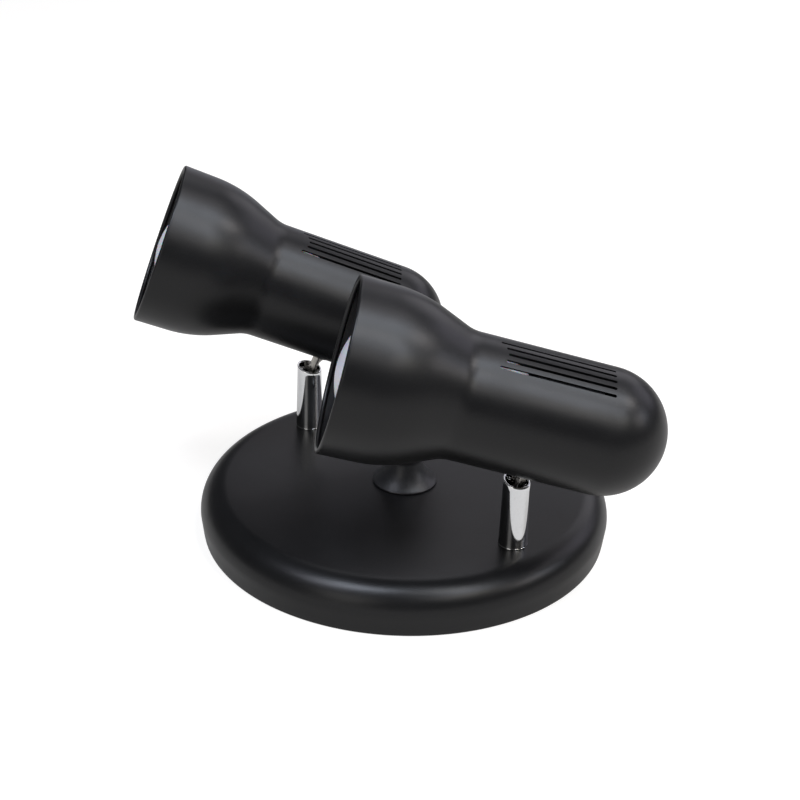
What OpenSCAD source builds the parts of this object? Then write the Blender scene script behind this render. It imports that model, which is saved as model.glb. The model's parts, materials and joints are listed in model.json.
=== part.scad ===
// Twin spotlight: a round base, two short sleeves and two bell-mouthed heads on pinned lugs.
// Millimetres. Z points away from the wall. The origin is the centre of the base's back plane.

/* [Base] */
// Diameter of the base cover
base_d = 190; // [176:2:220]
// Height of the base cover
base_h = 22.5; // [21.5:0.5:26]
// Radius of the cover's rounded edge
edge_r = 12.5; // [8:0.5:12.5]
// Thickness of the cover's sheet
cover_wall = 1.2; // [1:0.1:1.6]
// How far the side wall leans in at the back
side_draft = 1.2; // [0.6:0.1:2]
// Distance from the cover's edge to a sleeve's axis
row_inset = 23.75; // [22:0.25:26]

/* [Mounting bar] */
// Length of the bar that is screwed to the wall
bar_len = 150; // [140:2:156]
// Width of the bar and of its cross arm
bar_w = 26; // [24:1:30]
// Thickness of the bar
bar_t = 2; // [1.5:0.5:3]
// Length of the cross arm that carries the terminal block
arm_len = 92; // [88:1:100]
// Radius of the bar's corners
bar_corner = 4; // [2:0.5:6]
// Distance between the two wall screw slots
slot_pitch = 116; // [108:2:122]
// Width of a wall screw slot
slot_w = 5; // [4:0.5:6]
// Length of a wall screw slot from end to end
slot_l = 16; // [12:1:20]
// Diameter of the central threaded rod
rod_d = 6; // [5:1:6]

/* [Knob] */
// Diameter of the knob's flange
knob_d = 30; // [26:1:34]
// Height of the knob
knob_h = 18.5; // [17:0.5:21]
// Diameter of the knob's grip
grip_d = 15; // [14:0.5:17]

/* [Sleeve] */
// Diameter of a sleeve at its foot
foot_d = 12.9; // [12.7:0.1:14]
// Diameter of a sleeve at its rim
rim_d = 11.7; // [11.6:0.1:12.4]
// Bore of a sleeve
bore_d = 10; // [9.8:0.1:10.2]
// Height of the middle of the rim above the cover
rim_h = 31.6; // [30:0.2:33]
// Slant of the rim, low on the side the head leans to
rim_slant = 14; // [6:1:15]
// Height of the pivot pin above the cover
pivot_h = 26.1; // [25.5:0.1:26.6]
// Diameter of the pivot pin
pin_d = 2.5; // [2:0.1:2.8]

/* [Lug] */
// Distance from the pivot pin to the head's axis
lug_reach = 45.6; // [45:0.2:48]
// Width of the lug's tongue inside the sleeve
tongue_w = 4.4; // [4:0.2:4.6]
// Thickness of the lug's tongue
tongue_t = 2.2; // [2:0.1:2.4]
// Width of the lug above the rim
lug_w = 7.6; // [6.5:0.1:8.5]
// Thickness of the lug above the rim
lug_t = 3.2; // [2.8:0.1:3.6]
// Diameter of the lug's threaded stud
stud_d = 8; // [7:0.5:8]

/* [Head] */
// Outer diameter of the mouth
mouth_d = 75; // [74:0.5:80]
// Outer diameter of the tube
tube_d = 54.2; // [53.6:0.2:56]
// Length of the head
head_len = 140; // [139:0.5:144]
// Distance from the mouth to the lug's axis
lug_at = 90.5; // [89:0.5:91.5]
// Thickness of the head's sheet
shell_wall = 1; // [0.8:0.1:1.2]
// Angle of the lip's slight cone
lip_angle = 1.5; // [0.5:0.5:2]
// Length of the lip's cone
lip_len = 16; // [15:0.5:18]
// Radius of the shoulder behind the lip
shoulder_r = 60; // [56:1:64]
// Angle of the bell's cone
bell_angle = 22.3; // [21.5:0.1:23]
// Radius of the crease between bell and tube
crease_r = 6; // [4:0.5:8]

/* [Vents] */
// Number of vent slots
vent_n = 5; // [3:2:5]
// Angle between two vent slots
vent_step = 8; // [6.5:0.5:9]
// Width of a vent slot
vent_w = 1.4; // [1.2:0.1:2.4]
// Distance from the mouth to the front of the outer slots
vent_front = 61.2; // [59:0.2:64]
// Distance from the mouth to the back of the slots
vent_back = 110; // [104:0.2:112]
// How much further back the middle slot starts
vent_arch = 3; // [1:0.5:5]

/* [Bulb] */
// Diameter of the reflector bulb
bulb_d = 63; // [60:0.5:63]
// Radius of the bulb's front dome
dome_r = 36; // [35:0.5:38]
// Distance of the bulb's axis below the head's axis
bulb_drop = 1; // [0.4:0.2:1.2]
// Distance from the mouth's plane to the bulb's front
bulb_recess = 0; // [-1:0.2:1]
// Outer diameter of the lampholder
holder_d = 36; // [35:0.5:37]

/* [Pose] */
// Turn of the right sleeve on the base
right_pan = -1; // [-6:0.5:6]
// Lean of the right lug
right_lean = 21.2; // [15:0.1:26]
// Turn of the right head on its lug
right_swivel = 227.2; // [220:0.1:236]
// Turn of the left sleeve on the base
left_pan = 21.8; // [14:0.1:28]
// Lean of the left lug
left_lean = 23.2; // [17:0.1:27]
// Turn of the left head on its lug
left_swivel = 207.7; // [200:0.1:216]

/* [Hidden] */
$fn = 96;
gap = 0.05;
slip = 0.3;
tiny = 0.01;

base_r = base_d / 2;
cover_in = base_h - cover_wall;
row_x = base_r - row_inset;
rod_r = rod_d / 2;
knob_r = knob_d / 2;
grip_r = grip_d / 2;

foot_r = foot_d / 2;
rim_r = rim_d / 2;
bore_r = bore_d / 2;
nipple_r = bore_r - gap;
nipple_hole_r = nipple_r + 0.2;
nipple_up = 12;
washer_t = 1;
lock_t = 1.2;
nut_t = 4;
nut_af = 14;
pin_r = pin_d / 2;
pin_head_r = pin_r + 0.75;
slope = (foot_r - rim_r) / rim_h;
pin_seat = foot_r - slope * pivot_h - 0.3;
eye_r = 2.7;
bead_r = (rim_r - bore_r) / 2 + 0.08;
bead_at = (rim_r + bore_r) / 2;
rim_mid = rim_h - bead_r;
tongue_len = 10.4;

tube_r = tube_d / 2;
mouth_r = mouth_d / 2;
stud_r = stud_d / 2;
collar_r = 6.6;
collar_t = 2;
collar_top = lug_reach - tube_r - 0.1;
strip_w = 14;
strip_t = 1.2;
strip_low = -sqrt(pow(tube_r - shell_wall, 2) - pow(strip_w / 2, 2)) + 0.05;
strip_top = strip_low + strip_t;
lug_nut_t = 2.2;
lug_nut_af = 13;
lug_nut_at = strip_top + gap;
stud_top = lug_nut_at + lug_nut_t + 0.5;

// Head outline, as distances from the axis and from the mouth.
lip_end_r = mouth_r - lip_len * tan(lip_angle);
shoulder_c = [lip_end_r - shoulder_r * cos(lip_angle), lip_len - shoulder_r * sin(lip_angle)];
bell_start = shoulder_c + shoulder_r * [cos(bell_angle), sin(bell_angle)];
crease_r0 = tube_r + crease_r * (1 - cos(bell_angle));
crease_s0 = bell_start[1] + (bell_start[0] - crease_r0) / tan(bell_angle);
crease_c = [tube_r + crease_r, crease_s0 + crease_r * sin(bell_angle)];
dome_s = head_len - tube_r;

// Bulb outline, as distances from the axis and from the bulb's front.
bulb_r = bulb_d / 2;
side_r = 20;
dome_turn = asin((bulb_r - side_r) / (dome_r - side_r));
side_c = [bulb_r - side_r, dome_r - (dome_r - side_r) * cos(dome_turn)];
cone_angle = 17;
neck_s = 75.5;
neck_end = 79;
neck_end_r = 13;
cap_len = 21.5;
cap_r = 13.1;
tip_s = 105;
glass_t = 1;
holder_r = holder_d / 2;
holder_front = neck_end + 1.6;
holder_body = 27.5;
holder_step = 112.5;
holder_back = 122.2;
holder_back_r = 12;

block = [20, 30, 14];
block_x = 31;
pole_pitch = 9;
pole_z = 6.2;
pole_len = block[0] - 2;
pole_screw_x = 5;

// Places a sleeve's own frame: z up from the cover's face, x towards the side the head leans to.
module right_stand() {
    translate([row_x, 0, base_h]) rotate([0, 0, right_pan]) children();
}

module left_stand() {
    translate([-row_x, 0, base_h]) rotate([0, 0, left_pan]) children();
}

// Places a lug's own frame: the origin is the pivot, z points to the head.
module right_joint() {
    right_stand() translate([0, 0, pivot_h]) rotate([0, right_lean, 0]) children();
}

module left_joint() {
    left_stand() translate([0, 0, pivot_h]) rotate([0, left_lean, 0]) children();
}

// Places a head's own frame: the origin is on its axis above the lug, x points out of the mouth.
module right_head() {
    right_joint() translate([0, 0, lug_reach]) rotate([0, 0, right_swivel]) children();
}

module left_head() {
    left_joint() translate([0, 0, lug_reach]) rotate([0, 0, left_swivel]) children();
}

// Turns a body of revolution whose height is the distance from the mouth into the head's frame.
module along_head(drop = 0) {
    translate([lug_at, 0, -drop]) rotate([0, -90, 0]) children();
}

module hexagon(af) {
    circle(r = af / 2 / cos(30), $fn = 6);
}

// Half outline of the cover's outside, set in by a wall thickness.
module cover_half(inset) {
    r = edge_r - inset;
    side = 40;
    z_side = base_h - edge_r;
    intersection() {
        union() {
            translate([0, z_side]) square([base_r - edge_r, r]);
            intersection() {
                translate([base_r - edge_r, z_side]) circle(r = r);
                translate([0, z_side]) square([base_r, r + 1]);
            }
            polygon([[0, 0], [base_r - inset - side_draft, 0], [base_r - inset, z_side],
                [0, z_side]]);
        }
        square([base_r, base_h]);
    }
}

module base_cover() {
    color("#26272a") difference() {
        rotate_extrude($fn = 180) difference() {
            cover_half(0);
            cover_half(cover_wall);
            translate([0, -1]) square([base_r - side_draft - cover_wall, 2]);
        }
        translate([0, 0, base_h - 3]) cylinder(h = 6, r = rod_r + 0.4);
        for (x = [-row_x, row_x])
            translate([x, 0, base_h - 3]) cylinder(h = 6, r = nipple_hole_r);
    }
}

module rounded_bar(l, w, r) {
    for (x = [-l / 2 + r, l / 2 - r])
        for (y = [-w / 2 + r, w / 2 - r])
            translate([x, y]) circle(r = r);
    square([l - 2 * r, w], center = true);
    square([l, w - 2 * r], center = true);
}

module slot_shape(l, w) {
    for (x = [-1, 1])
        translate([x * (l - w) / 2, 0]) circle(r = w / 2);
    square([l - w, w], center = true);
}

module mounting_bar() {
    color("#b9bcc0") linear_extrude(height = bar_t) difference() {
        union() {
            rotate(90) rounded_bar(bar_len, bar_w, bar_corner);
            rounded_bar(arm_len, bar_w, bar_corner);
        }
        circle(r = rod_r + gap);
        for (y = [-1, 1])
            translate([0, y * slot_pitch / 2]) rotate(90) slot_shape(slot_l, slot_w);
        for (y = [-1, 1])
            translate([0, y * 34]) circle(r = 2.1);
        translate([block_x, 0]) circle(r = 1.5 + gap);
        translate([-30, 0]) circle(r = 2 + gap);
    }
}

module centre_rod() {
    color("#c9c2a8") union() {
        translate([0, 0, 0.3]) cylinder(h = base_h + 11.7, r = rod_r);
        translate([0, 0, base_h + 11.9]) cylinder(h = 0.8, r1 = rod_r, r2 = rod_r - 0.8);
    }
}

module rod_nut() {
    color("#c2c4c6") translate([0, 0, bar_t]) linear_extrude(height = 4.5) difference() {
        hexagon(10);
        circle(r = rod_r + gap);
    }
}

module terminal_block() {
    color("#e9e7df") translate([block_x, 0, bar_t]) difference() {
        translate([-block[0] / 2, -block[1] / 2, 0]) cube(block);
        for (p = [-1, 0, 1])
            translate([0, p * pole_pitch, 0]) {
                translate([-block[0], 0, pole_z]) rotate([0, 90, 0])
                    cylinder(h = 2 * block[0], r = 2.5);
                for (x = [-pole_screw_x, pole_screw_x])
                    translate([x, 0, pole_z]) cylinder(h = block[2], r = 2.1);
            }
        for (p = [-0.5, 0.5])
            translate([0, p * pole_pitch, 11]) cube([block[0] + 2, 1.2, 7], center = true);
        translate([0, 0, -1]) cylinder(h = 6, r = 1.5 + gap);
    }
}

module terminal_sleeves() {
    color("#c8a951") for (p = [-1, 0, 1])
        translate([block_x - pole_len / 2, p * pole_pitch, bar_t + pole_z]) rotate([0, 90, 0])
        difference() {
            cylinder(h = pole_len, r = 2.5 - gap);
            translate([0, 0, -1]) cylinder(h = pole_len + 2, r = 1.7);
            for (x = [-pole_screw_x, pole_screw_x])
                translate([0, 0, pole_len / 2 + x]) rotate([0, -90, 0])
                    cylinder(h = 5, r = 1.35);
        }
}

module terminal_screws() {
    color("#c9cbcd") for (p = [-1, 0, 1])
        for (x = [-pole_screw_x, pole_screw_x])
            translate([block_x + x, p * pole_pitch, bar_t]) difference() {
                union() {
                    translate([0, 0, 7.6]) cylinder(h = 2, r = 1.3);
                    translate([0, 0, 9.2]) cylinder(h = 3.4, r = 2);
                }
                translate([0, 0, 12.4]) cube([5, 0.7, 1.4], center = true);
            }
}

module block_screw() {
    color("#c9cbcd") translate([block_x, 0, 0]) cylinder(h = bar_t + 3.4, r = 1.5);
}

module earth_washer() {
    color("#c8a951") translate([-30, 0, bar_t]) difference() {
        cylinder(h = 1, r = 4.5);
        translate([0, 0, -1]) cylinder(h = 3, r = 2 + gap);
    }
}

module earth_screw() {
    color("#c8a951") translate([-30, 0, 0]) difference() {
        union() {
            translate([0, 0, 0.2]) cylinder(h = bar_t + 2, r = 2);
            translate([0, 0, bar_t + 1]) cylinder(h = 2.6, r = 3.6);
        }
        translate([0, 0, bar_t + 3.4]) cube([9, 0.9, 1.8], center = true);
        translate([0, 0, bar_t + 3.4]) cube([0.9, 9, 1.8], center = true);
    }
}

// Outline of the knob: flange, concave flare, neck and domed grip.
module knob_half() {
    edge = 1.1;
    cone_top = 9.4;
    neck_r = grip_r + 0.6;
    top_r = 3;
    flare_turn = 17;
    foot = [knob_r - 0.5, edge];
    head = [neck_r, cone_top];
    flare_r = norm(head - foot) / 2 / sin(flare_turn);
    outward = [head[1] - foot[1], foot[0] - head[0]] / norm(head - foot);
    flare_c = (foot + head) / 2 + flare_r * cos(flare_turn) * outward;
    square([knob_r - 0.5, edge]);
    square([knob_r, edge - 0.5]);
    translate([knob_r - 0.5, edge - 0.5]) circle(r = 0.5, $fn = 48);
    difference() {
        polygon([[0, edge - 0.2], [knob_r - 0.5, edge - 0.2], foot, head,
            [grip_r, cone_top + 1.6], [grip_r, knob_h - top_r], [0, knob_h - top_r]]);
        intersection() {
            translate(flare_c) circle(r = flare_r, $fn = 180);
            translate([grip_r, edge]) square([knob_r, cone_top - edge]);
        }
    }
    translate([grip_r - top_r, knob_h - top_r]) intersection() {
        circle(r = top_r);
        square(top_r);
    }
    translate([0, knob_h - top_r - tiny]) square([grip_r - top_r, top_r + tiny]);
}

module knob() {
    color("#1d1e20") translate([0, 0, base_h]) difference() {
        rotate_extrude() intersection() {
            knob_half();
            square([knob_r, knob_h]);
        }
        translate([0, 0, -1]) cylinder(h = 14.4, r = 4.5);
        translate([0, 0, -1]) cylinder(h = 3, r = 8);
        for (a = [0:30:330])
            rotate(a) translate([grip_r + 0.75, 0, 11.6]) cylinder(h = knob_h, r = 1.1, $fn = 32);
    }
}

module knob_insert() {
    color("#c8a951") translate([0, 0, base_h + 2]) difference() {
        cylinder(h = 11, r = 4.5 - gap);
        translate([0, 0, -1]) cylinder(h = 13, r = rod_r + gap);
    }
}

// A tapered sleeve with a rounded rim cut on the slant.
module sleeve() {
    chamfer = 0.5;
    top = rim_h + 4;
    color("#d9dbde") difference() {
        union() {
            difference() {
                union() {
                    cylinder(h = chamfer, r1 = foot_r - chamfer, r2 = foot_r);
                    translate([0, 0, chamfer])
                        cylinder(h = top - chamfer, r1 = foot_r, r2 = foot_r - slope * (top - chamfer));
                }
                translate([0, 0, rim_mid]) rotate([0, rim_slant, 0])
                    translate([-20, -20, 0]) cube([40, 40, 20]);
            }
            translate([0, 0, rim_mid]) rotate([0, rim_slant, 0])
                rotate_extrude() translate([bead_at, 0]) circle(r = bead_r, $fn = 48);
        }
        translate([0, 0, -1]) cylinder(h = top, r = bore_r);
        translate([0, 0, pivot_h]) rotate([90, 0, 0])
            cylinder(h = 30, r = pin_r + 0.02, center = true);
        translate([0, pin_seat, pivot_h]) rotate([-90, 0, 0]) cylinder(h = 9, r = pin_head_r + gap);
    }
}

module nipple() {
    low = cover_wall + washer_t + lock_t + nut_t + 3;
    color("#c9c2a8") difference() {
        union() {
            translate([0, 0, -low + 0.6]) cylinder(h = low + nipple_up - 1.2, r = nipple_r);
            translate([0, 0, -low]) cylinder(h = 0.6, r1 = nipple_r - 0.6, r2 = nipple_r);
            translate([0, 0, nipple_up - 0.6]) cylinder(h = 0.6, r1 = nipple_r, r2 = nipple_r - 0.6);
        }
        translate([0, 0, -low - 1]) cylinder(h = low + nipple_up + 2, r = 3.6);
    }
}

module flat_washer() {
    color("#b9bcc0") translate([0, 0, -cover_wall - washer_t]) difference() {
        cylinder(h = washer_t, r = 9);
        translate([0, 0, -1]) cylinder(h = 4, r = nipple_r + gap);
    }
}

module lock_washer() {
    color("#a9acb0") translate([0, 0, -cover_wall - washer_t - lock_t]) difference() {
        cylinder(h = lock_t, r = 7.8);
        translate([0, 0, -1]) cylinder(h = 4, r = nipple_r + gap);
        rotate([0, 0, 180]) translate([0, -0.5, -1]) cube([12, 1, 4]);
    }
}

module nipple_nut() {
    color("#c2c4c6") translate([0, 0, -cover_wall - washer_t - lock_t - nut_t])
        intersection() {
            linear_extrude(height = nut_t) difference() {
                hexagon(nut_af);
                circle(r = nipple_r + gap);
            }
            translate([0, 0, -1.6]) cylinder(h = nut_t + 4, r1 = 10.6, r2 = 6.8);
        }
}

// The pin goes through both walls of the sleeve and has a low head in a flat seat on one side.
module pivot_pin() {
    color("#d2d4d7") translate([0, 0, pivot_h]) union() {
        rotate([90, 0, 0]) translate([0, 0, -pin_seat]) cylinder(h = 2 * pin_seat, r = pin_r);
        translate([0, pin_seat, 0]) rotate([-90, 0, 0]) {
            cylinder(h = 0.75, r = pin_head_r);
            translate([0, 0, 0.75 - tiny]) cylinder(h = 0.35, r1 = pin_head_r, r2 = pin_head_r - 0.7);
        }
    }
}

// Flat tongue with an eye round the pin, a wider blade, a round collar and a threaded stud.
module lug() {
    color("#b7b2a6") difference() {
        union() {
            rotate([90, 0, 0]) cylinder(h = tongue_w, r = eye_r, center = true);
            translate([-tongue_t / 2, -tongue_w / 2, 0]) cube([tongue_t, tongue_w, tongue_len + 1]);
            translate([-lug_t / 2, -lug_w / 2, tongue_len])
                cube([lug_t, lug_w, collar_top - collar_t - tongue_len + tiny]);
            translate([0, 0, collar_top - collar_t]) cylinder(h = collar_t, r = collar_r);
            translate([0, 0, collar_top - tiny])
                cylinder(h = lug_reach + stud_top - collar_top + tiny, r = stud_r);
        }
        rotate([90, 0, 0]) cylinder(h = 20, r = pin_r + 0.06, center = true);
    }
}

module lug_nut() {
    color("#c2c4c6") translate([0, 0, lug_reach + lug_nut_at]) linear_extrude(height = lug_nut_t)
        difference() {
            hexagon(lug_nut_af);
            circle(r = stud_r + gap);
        }
}

// Half outline of the head, set in by a wall thickness.
module head_half(inset) {
    p1 = shoulder_c + (shoulder_r - inset) * [cos(lip_angle), sin(lip_angle)];
    p2 = shoulder_c + (shoulder_r - inset) * [cos(bell_angle), sin(bell_angle)];
    p3 = crease_c - (crease_r + inset) * [cos(bell_angle), sin(bell_angle)];
    r0 = p1[0] + p1[1] * tan(lip_angle);
    rt = tube_r - inset;
    polygon([[0, 0], [r0, 0], p1, [0, p1[1]]]);
    intersection() {
        translate(shoulder_c) circle(r = shoulder_r - inset, $fn = 360);
        translate([0, p1[1]]) square([mouth_r, p2[1] - p1[1]]);
    }
    polygon([[0, p2[1]], p2, p3, [0, p3[1]]]);
    difference() {
        translate([0, p3[1] - 1]) square([p3[0], crease_c[1] - p3[1] + 1]);
        translate(crease_c) circle(r = crease_r + inset, $fn = 180);
    }
    translate([0, crease_c[1] - tiny]) square([rt, dome_s - crease_c[1] + tiny]);
    intersection() {
        translate([0, dome_s]) circle(r = rt, $fn = 180);
        translate([0, dome_s - tiny]) square([rt, rt + tiny]);
    }
}

module head_shell() {
    lip = shell_wall * 1.1;
    color("#26272a") difference() {
        along_head() rotate_extrude($fn = 180) {
            difference() {
                head_half(0);
                head_half(shell_wall);
                translate([0, -1]) square([mouth_r, lip + 1]);
            }
            translate([mouth_r - lip, lip]) circle(r = lip, $fn = 48);
        }
        for (k = [0:vent_n - 1]) {
            m = (vent_n - 1) / 2;
            f = vent_front + vent_arch * (1 - pow((k - m) / m, 2));
            rotate([(k - m) * vent_step, 0, 0])
                translate([lug_at - (f + vent_back) / 2, 0, tube_r / 2])
                linear_extrude(height = tube_r) slot_shape(vent_back - f, vent_w);
        }
        translate([0, 0, -tube_r - 2]) cylinder(h = 6, r = stud_r + slip);
    }
}

// Bent strip: foot on the stud, slope under the lampholder and plate behind it.
module holder_bracket() {
    back = lug_at - holder_back;
    knee = -17;
    low = -bulb_drop - holder_back_r - 0.8;
    t = strip_t;
    color("#c2c4c6") difference() {
        rotate([90, 0, 0]) translate([0, 0, -strip_w / 2]) linear_extrude(height = strip_w)
            polygon([[10, strip_low], [10, strip_top], [knee, strip_top], [back, low],
                [back, 11], [back - t, 11], [back - t, low - 0.4 * t], [knee - 0.5 * t, strip_low]]);
        translate([0, 0, strip_low - 1]) cylinder(h = 4, r = stud_r + slip);
        for (z = [-8, 8])
            translate([back - 3, 0, z - bulb_drop]) rotate([0, 90, 0]) cylinder(h = 6, r = 1.55);
    }
}

module lampholder() {
    color("#191a1b") along_head(bulb_drop) difference() {
        union() {
            translate([0, 0, holder_front]) cylinder(h = holder_body, r = holder_r);
            translate([0, 0, holder_front + holder_body - tiny])
                cylinder(h = holder_step - holder_front - holder_body + tiny, r1 = holder_r,
                    r2 = holder_back_r);
            translate([0, 0, holder_step - tiny])
                cylinder(h = holder_back - holder_step + tiny, r = holder_back_r);
        }
        translate([0, 0, holder_front - 1]) cylinder(h = holder_body - 1.3, r = 14.6);
        for (z = [2.6, 5.8, 9])
            translate([0, 0, holder_front + z]) difference() {
                cylinder(h = 1.2, r = holder_r + 1);
                translate([0, 0, -1]) cylinder(h = 4, r = holder_r - 0.6);
            }
        for (x = [-8, 8])
            translate([x, 0, holder_back - 7]) cylinder(h = 9, r = 1.3);
        translate([0, 0, holder_front + 20]) cylinder(h = holder_body - 20.1, r = 4.2);
    }
}

module thread_shell() {
    h = 20.6;
    color("#c8a951") along_head(bulb_drop) translate([0, 0, holder_front + 3.8]) difference() {
        cylinder(h = h, r = 14.3);
        translate([0, 0, -1]) cylinder(h = h - 0.4, r = 13.5);
        cylinder(h = h + 5, r = 5);
        for (z = [2.6:3.6:16])
            translate([0, 0, z]) difference() {
                cylinder(h = 1.2, r = 15);
                translate([0, 0, -1]) cylinder(h = 4, r = 13.9);
            }
    }
}

module centre_contact() {
    color("#c8a951") along_head(bulb_drop) union() {
        translate([0, 0, tip_s + bulb_recess]) cylinder(h = 1, r = 3.4);
        translate([0, 0, tip_s + bulb_recess + 1 - tiny])
            cylinder(h = holder_front + holder_body - 0.3 - tip_s - bulb_recess - 1, r = 1.6);
    }
}

module holder_screws() {
    color("#c9cbcd") along_head(bulb_drop) for (x = [-8, 8])
        translate([x, 0, holder_back + strip_t]) difference() {
            union() {
                cylinder(h = 1.8, r = 2.7);
                translate([0, 0, -6.6]) cylinder(h = 6.8, r = 1.25);
            }
            translate([0, 0, 1.6]) cube([8, 0.8, 1.4], center = true);
        }
}

// Half outline of the bulb's glass, set in by a wall thickness.
module bulb_half(inset) {
    far = 60;
    e = side_c + (side_r - inset) * [cos(cone_angle), sin(cone_angle)];
    n = [e[0] - (neck_s - e[1]) * tan(cone_angle), neck_s];
    turn = [sin(dome_turn), -cos(dome_turn)];
    near = [sin(dome_turn - 1), -cos(dome_turn - 1)];
    top = [0, dome_r];
    intersection() {
        translate(top) circle(r = dome_r - inset, $fn = 240);
        polygon([top, [0, dome_r - far], top + far * turn]);
    }
    intersection() {
        translate(side_c) circle(r = side_r - inset, $fn = 180);
        polygon([side_c, side_c + far * near, side_c + far * [1, 0],
            side_c + far * [cos(cone_angle + 1), sin(cone_angle + 1)]]);
    }
    polygon([top, side_c, e, n, [neck_end_r - inset, neck_end - inset], [0, neck_end - inset]]);
}

module bulb_glass() {
    color("#e9e9f4") along_head(bulb_drop) translate([0, 0, bulb_recess]) rotate_extrude($fn = 180)
        difference() {
            bulb_half(0);
            bulb_half(glass_t);
        }
}

module bulb_cap() {
    color("#c9cbcd") along_head(bulb_drop) translate([0, 0, bulb_recess + neck_end]) difference() {
        union() {
            cylinder(h = 4, r = neck_end_r - 0.2);
            for (z = [4:3.5:18])
                translate([0, 0, z]) {
                    cylinder(h = 1.75, r1 = neck_end_r - 0.6, r2 = cap_r);
                    translate([0, 0, 1.75]) cylinder(h = 1.75, r1 = cap_r, r2 = neck_end_r - 0.6);
                }
        }
        translate([0, 0, cap_len]) cylinder(h = 9, r = 20);
        translate([0, 0, 1]) cylinder(h = 30, r = neck_end_r - 1.4);
    }
}

module bulb_insulator() {
    color("#1a1a1c") along_head(bulb_drop) translate([0, 0, bulb_recess]) union() {
        translate([0, 0, neck_end + cap_len - 3]) cylinder(h = 3, r = neck_end_r - 1.45);
        translate([0, 0, neck_end + cap_len - tiny])
            cylinder(h = tip_s - 1.5 - neck_end - cap_len + tiny, r1 = neck_end_r - 1.45, r2 = 5.4);
    }
}

module bulb_tip() {
    color("#c9cbcd") along_head(bulb_drop) translate([0, 0, bulb_recess + tip_s - 1.5]) union() {
        cylinder(h = 0.9, r = 4.8);
        translate([0, 0, 0.9]) cylinder(h = 0.6, r1 = 4.8, r2 = 3);
    }
}

base_cover();
mounting_bar();
centre_rod();
rod_nut();
terminal_block();
terminal_sleeves();
terminal_screws();
block_screw();
earth_screw();
earth_washer();
knob();
knob_insert();
right_stand() sleeve();  // right_sleeve
right_stand() nipple();  // right_nipple
right_stand() flat_washer();  // right_flat_washer
right_stand() lock_washer();  // right_lock_washer
right_stand() nipple_nut();  // right_nipple_nut
right_stand() pivot_pin();  // right_pivot_pin
right_joint() lug();  // right_lug
right_joint() lug_nut();  // right_lug_nut
right_head() head_shell();  // right_head_shell
right_head() holder_bracket();  // right_holder_bracket
right_head() lampholder();  // right_lampholder
right_head() thread_shell();  // right_thread_shell
right_head() centre_contact();  // right_centre_contact
right_head() holder_screws();  // right_holder_screws
right_head() bulb_glass();  // right_bulb_glass
right_head() bulb_cap();  // right_bulb_cap
right_head() bulb_insulator();  // right_bulb_insulator
right_head() bulb_tip();  // right_bulb_tip
left_stand() sleeve();  // left_sleeve
left_stand() nipple();  // left_nipple
left_stand() flat_washer();  // left_flat_washer
left_stand() lock_washer();  // left_lock_washer
left_stand() nipple_nut();  // left_nipple_nut
left_stand() pivot_pin();  // left_pivot_pin
left_joint() lug();  // left_lug
left_joint() lug_nut();  // left_lug_nut
left_head() head_shell();  // left_head_shell
left_head() holder_bracket();  // left_holder_bracket
left_head() lampholder();  // left_lampholder
left_head() thread_shell();  // left_thread_shell
left_head() centre_contact();  // left_centre_contact
left_head() holder_screws();  // left_holder_screws
left_head() bulb_glass();  // left_bulb_glass
left_head() bulb_cap();  // left_bulb_cap
left_head() bulb_insulator();  // left_bulb_insulator
left_head() bulb_tip();  // left_bulb_tip
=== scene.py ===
"""Twin spotlight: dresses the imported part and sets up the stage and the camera."""
import json
import math

import bmesh
import bpy
from bpy.props import FloatProperty, FloatVectorProperty, IntProperty, PointerProperty
from mathutils import Matrix, Vector


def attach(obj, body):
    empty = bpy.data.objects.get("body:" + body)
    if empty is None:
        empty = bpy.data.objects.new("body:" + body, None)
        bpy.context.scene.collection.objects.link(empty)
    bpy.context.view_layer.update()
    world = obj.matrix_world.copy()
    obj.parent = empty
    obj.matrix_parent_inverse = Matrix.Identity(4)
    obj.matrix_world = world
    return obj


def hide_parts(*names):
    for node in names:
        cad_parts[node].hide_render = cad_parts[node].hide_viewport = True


bl_info = {
    "name": "Twin Spotlight",
    "version": (1, 0, 0),
    "blender": (4, 5, 0),
    "location": "View3D > Sidebar > Spotlight",
    "description": "Builds a round wall base with two bell-mouthed spotlights and its stage",
    "category": "Object",
}

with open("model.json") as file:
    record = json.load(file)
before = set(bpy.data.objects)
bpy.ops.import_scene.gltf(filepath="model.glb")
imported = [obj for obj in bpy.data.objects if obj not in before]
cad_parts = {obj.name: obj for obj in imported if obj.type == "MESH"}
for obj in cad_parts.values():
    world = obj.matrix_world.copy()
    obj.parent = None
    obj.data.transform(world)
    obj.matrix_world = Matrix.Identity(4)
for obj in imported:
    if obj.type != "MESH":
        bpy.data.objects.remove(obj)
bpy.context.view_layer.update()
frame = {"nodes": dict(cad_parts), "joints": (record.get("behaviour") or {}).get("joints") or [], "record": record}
JOINTS = {j["name"]: j for j in frame["joints"]}
SIDES = ("right", "left")
TAU = 2 * math.pi
SHARP = math.radians(32)
MM = 0.001
IMAGE_SIDE = 800


def length(name, description, value, low=0.0001, high=0.5):
    return FloatProperty(name=name, description=description, default=value, min=low, max=high,
                         subtype="DISTANCE", unit="LENGTH", precision=5)


def turn(name, description, degrees):
    return FloatProperty(name=name, description=description, default=math.radians(degrees),
                         subtype="ANGLE", unit="ROTATION")


def colour(name, description, value):
    return FloatVectorProperty(name=name, description=description, default=value, size=3,
                               min=0.0, max=1.0, subtype="COLOR")


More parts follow.
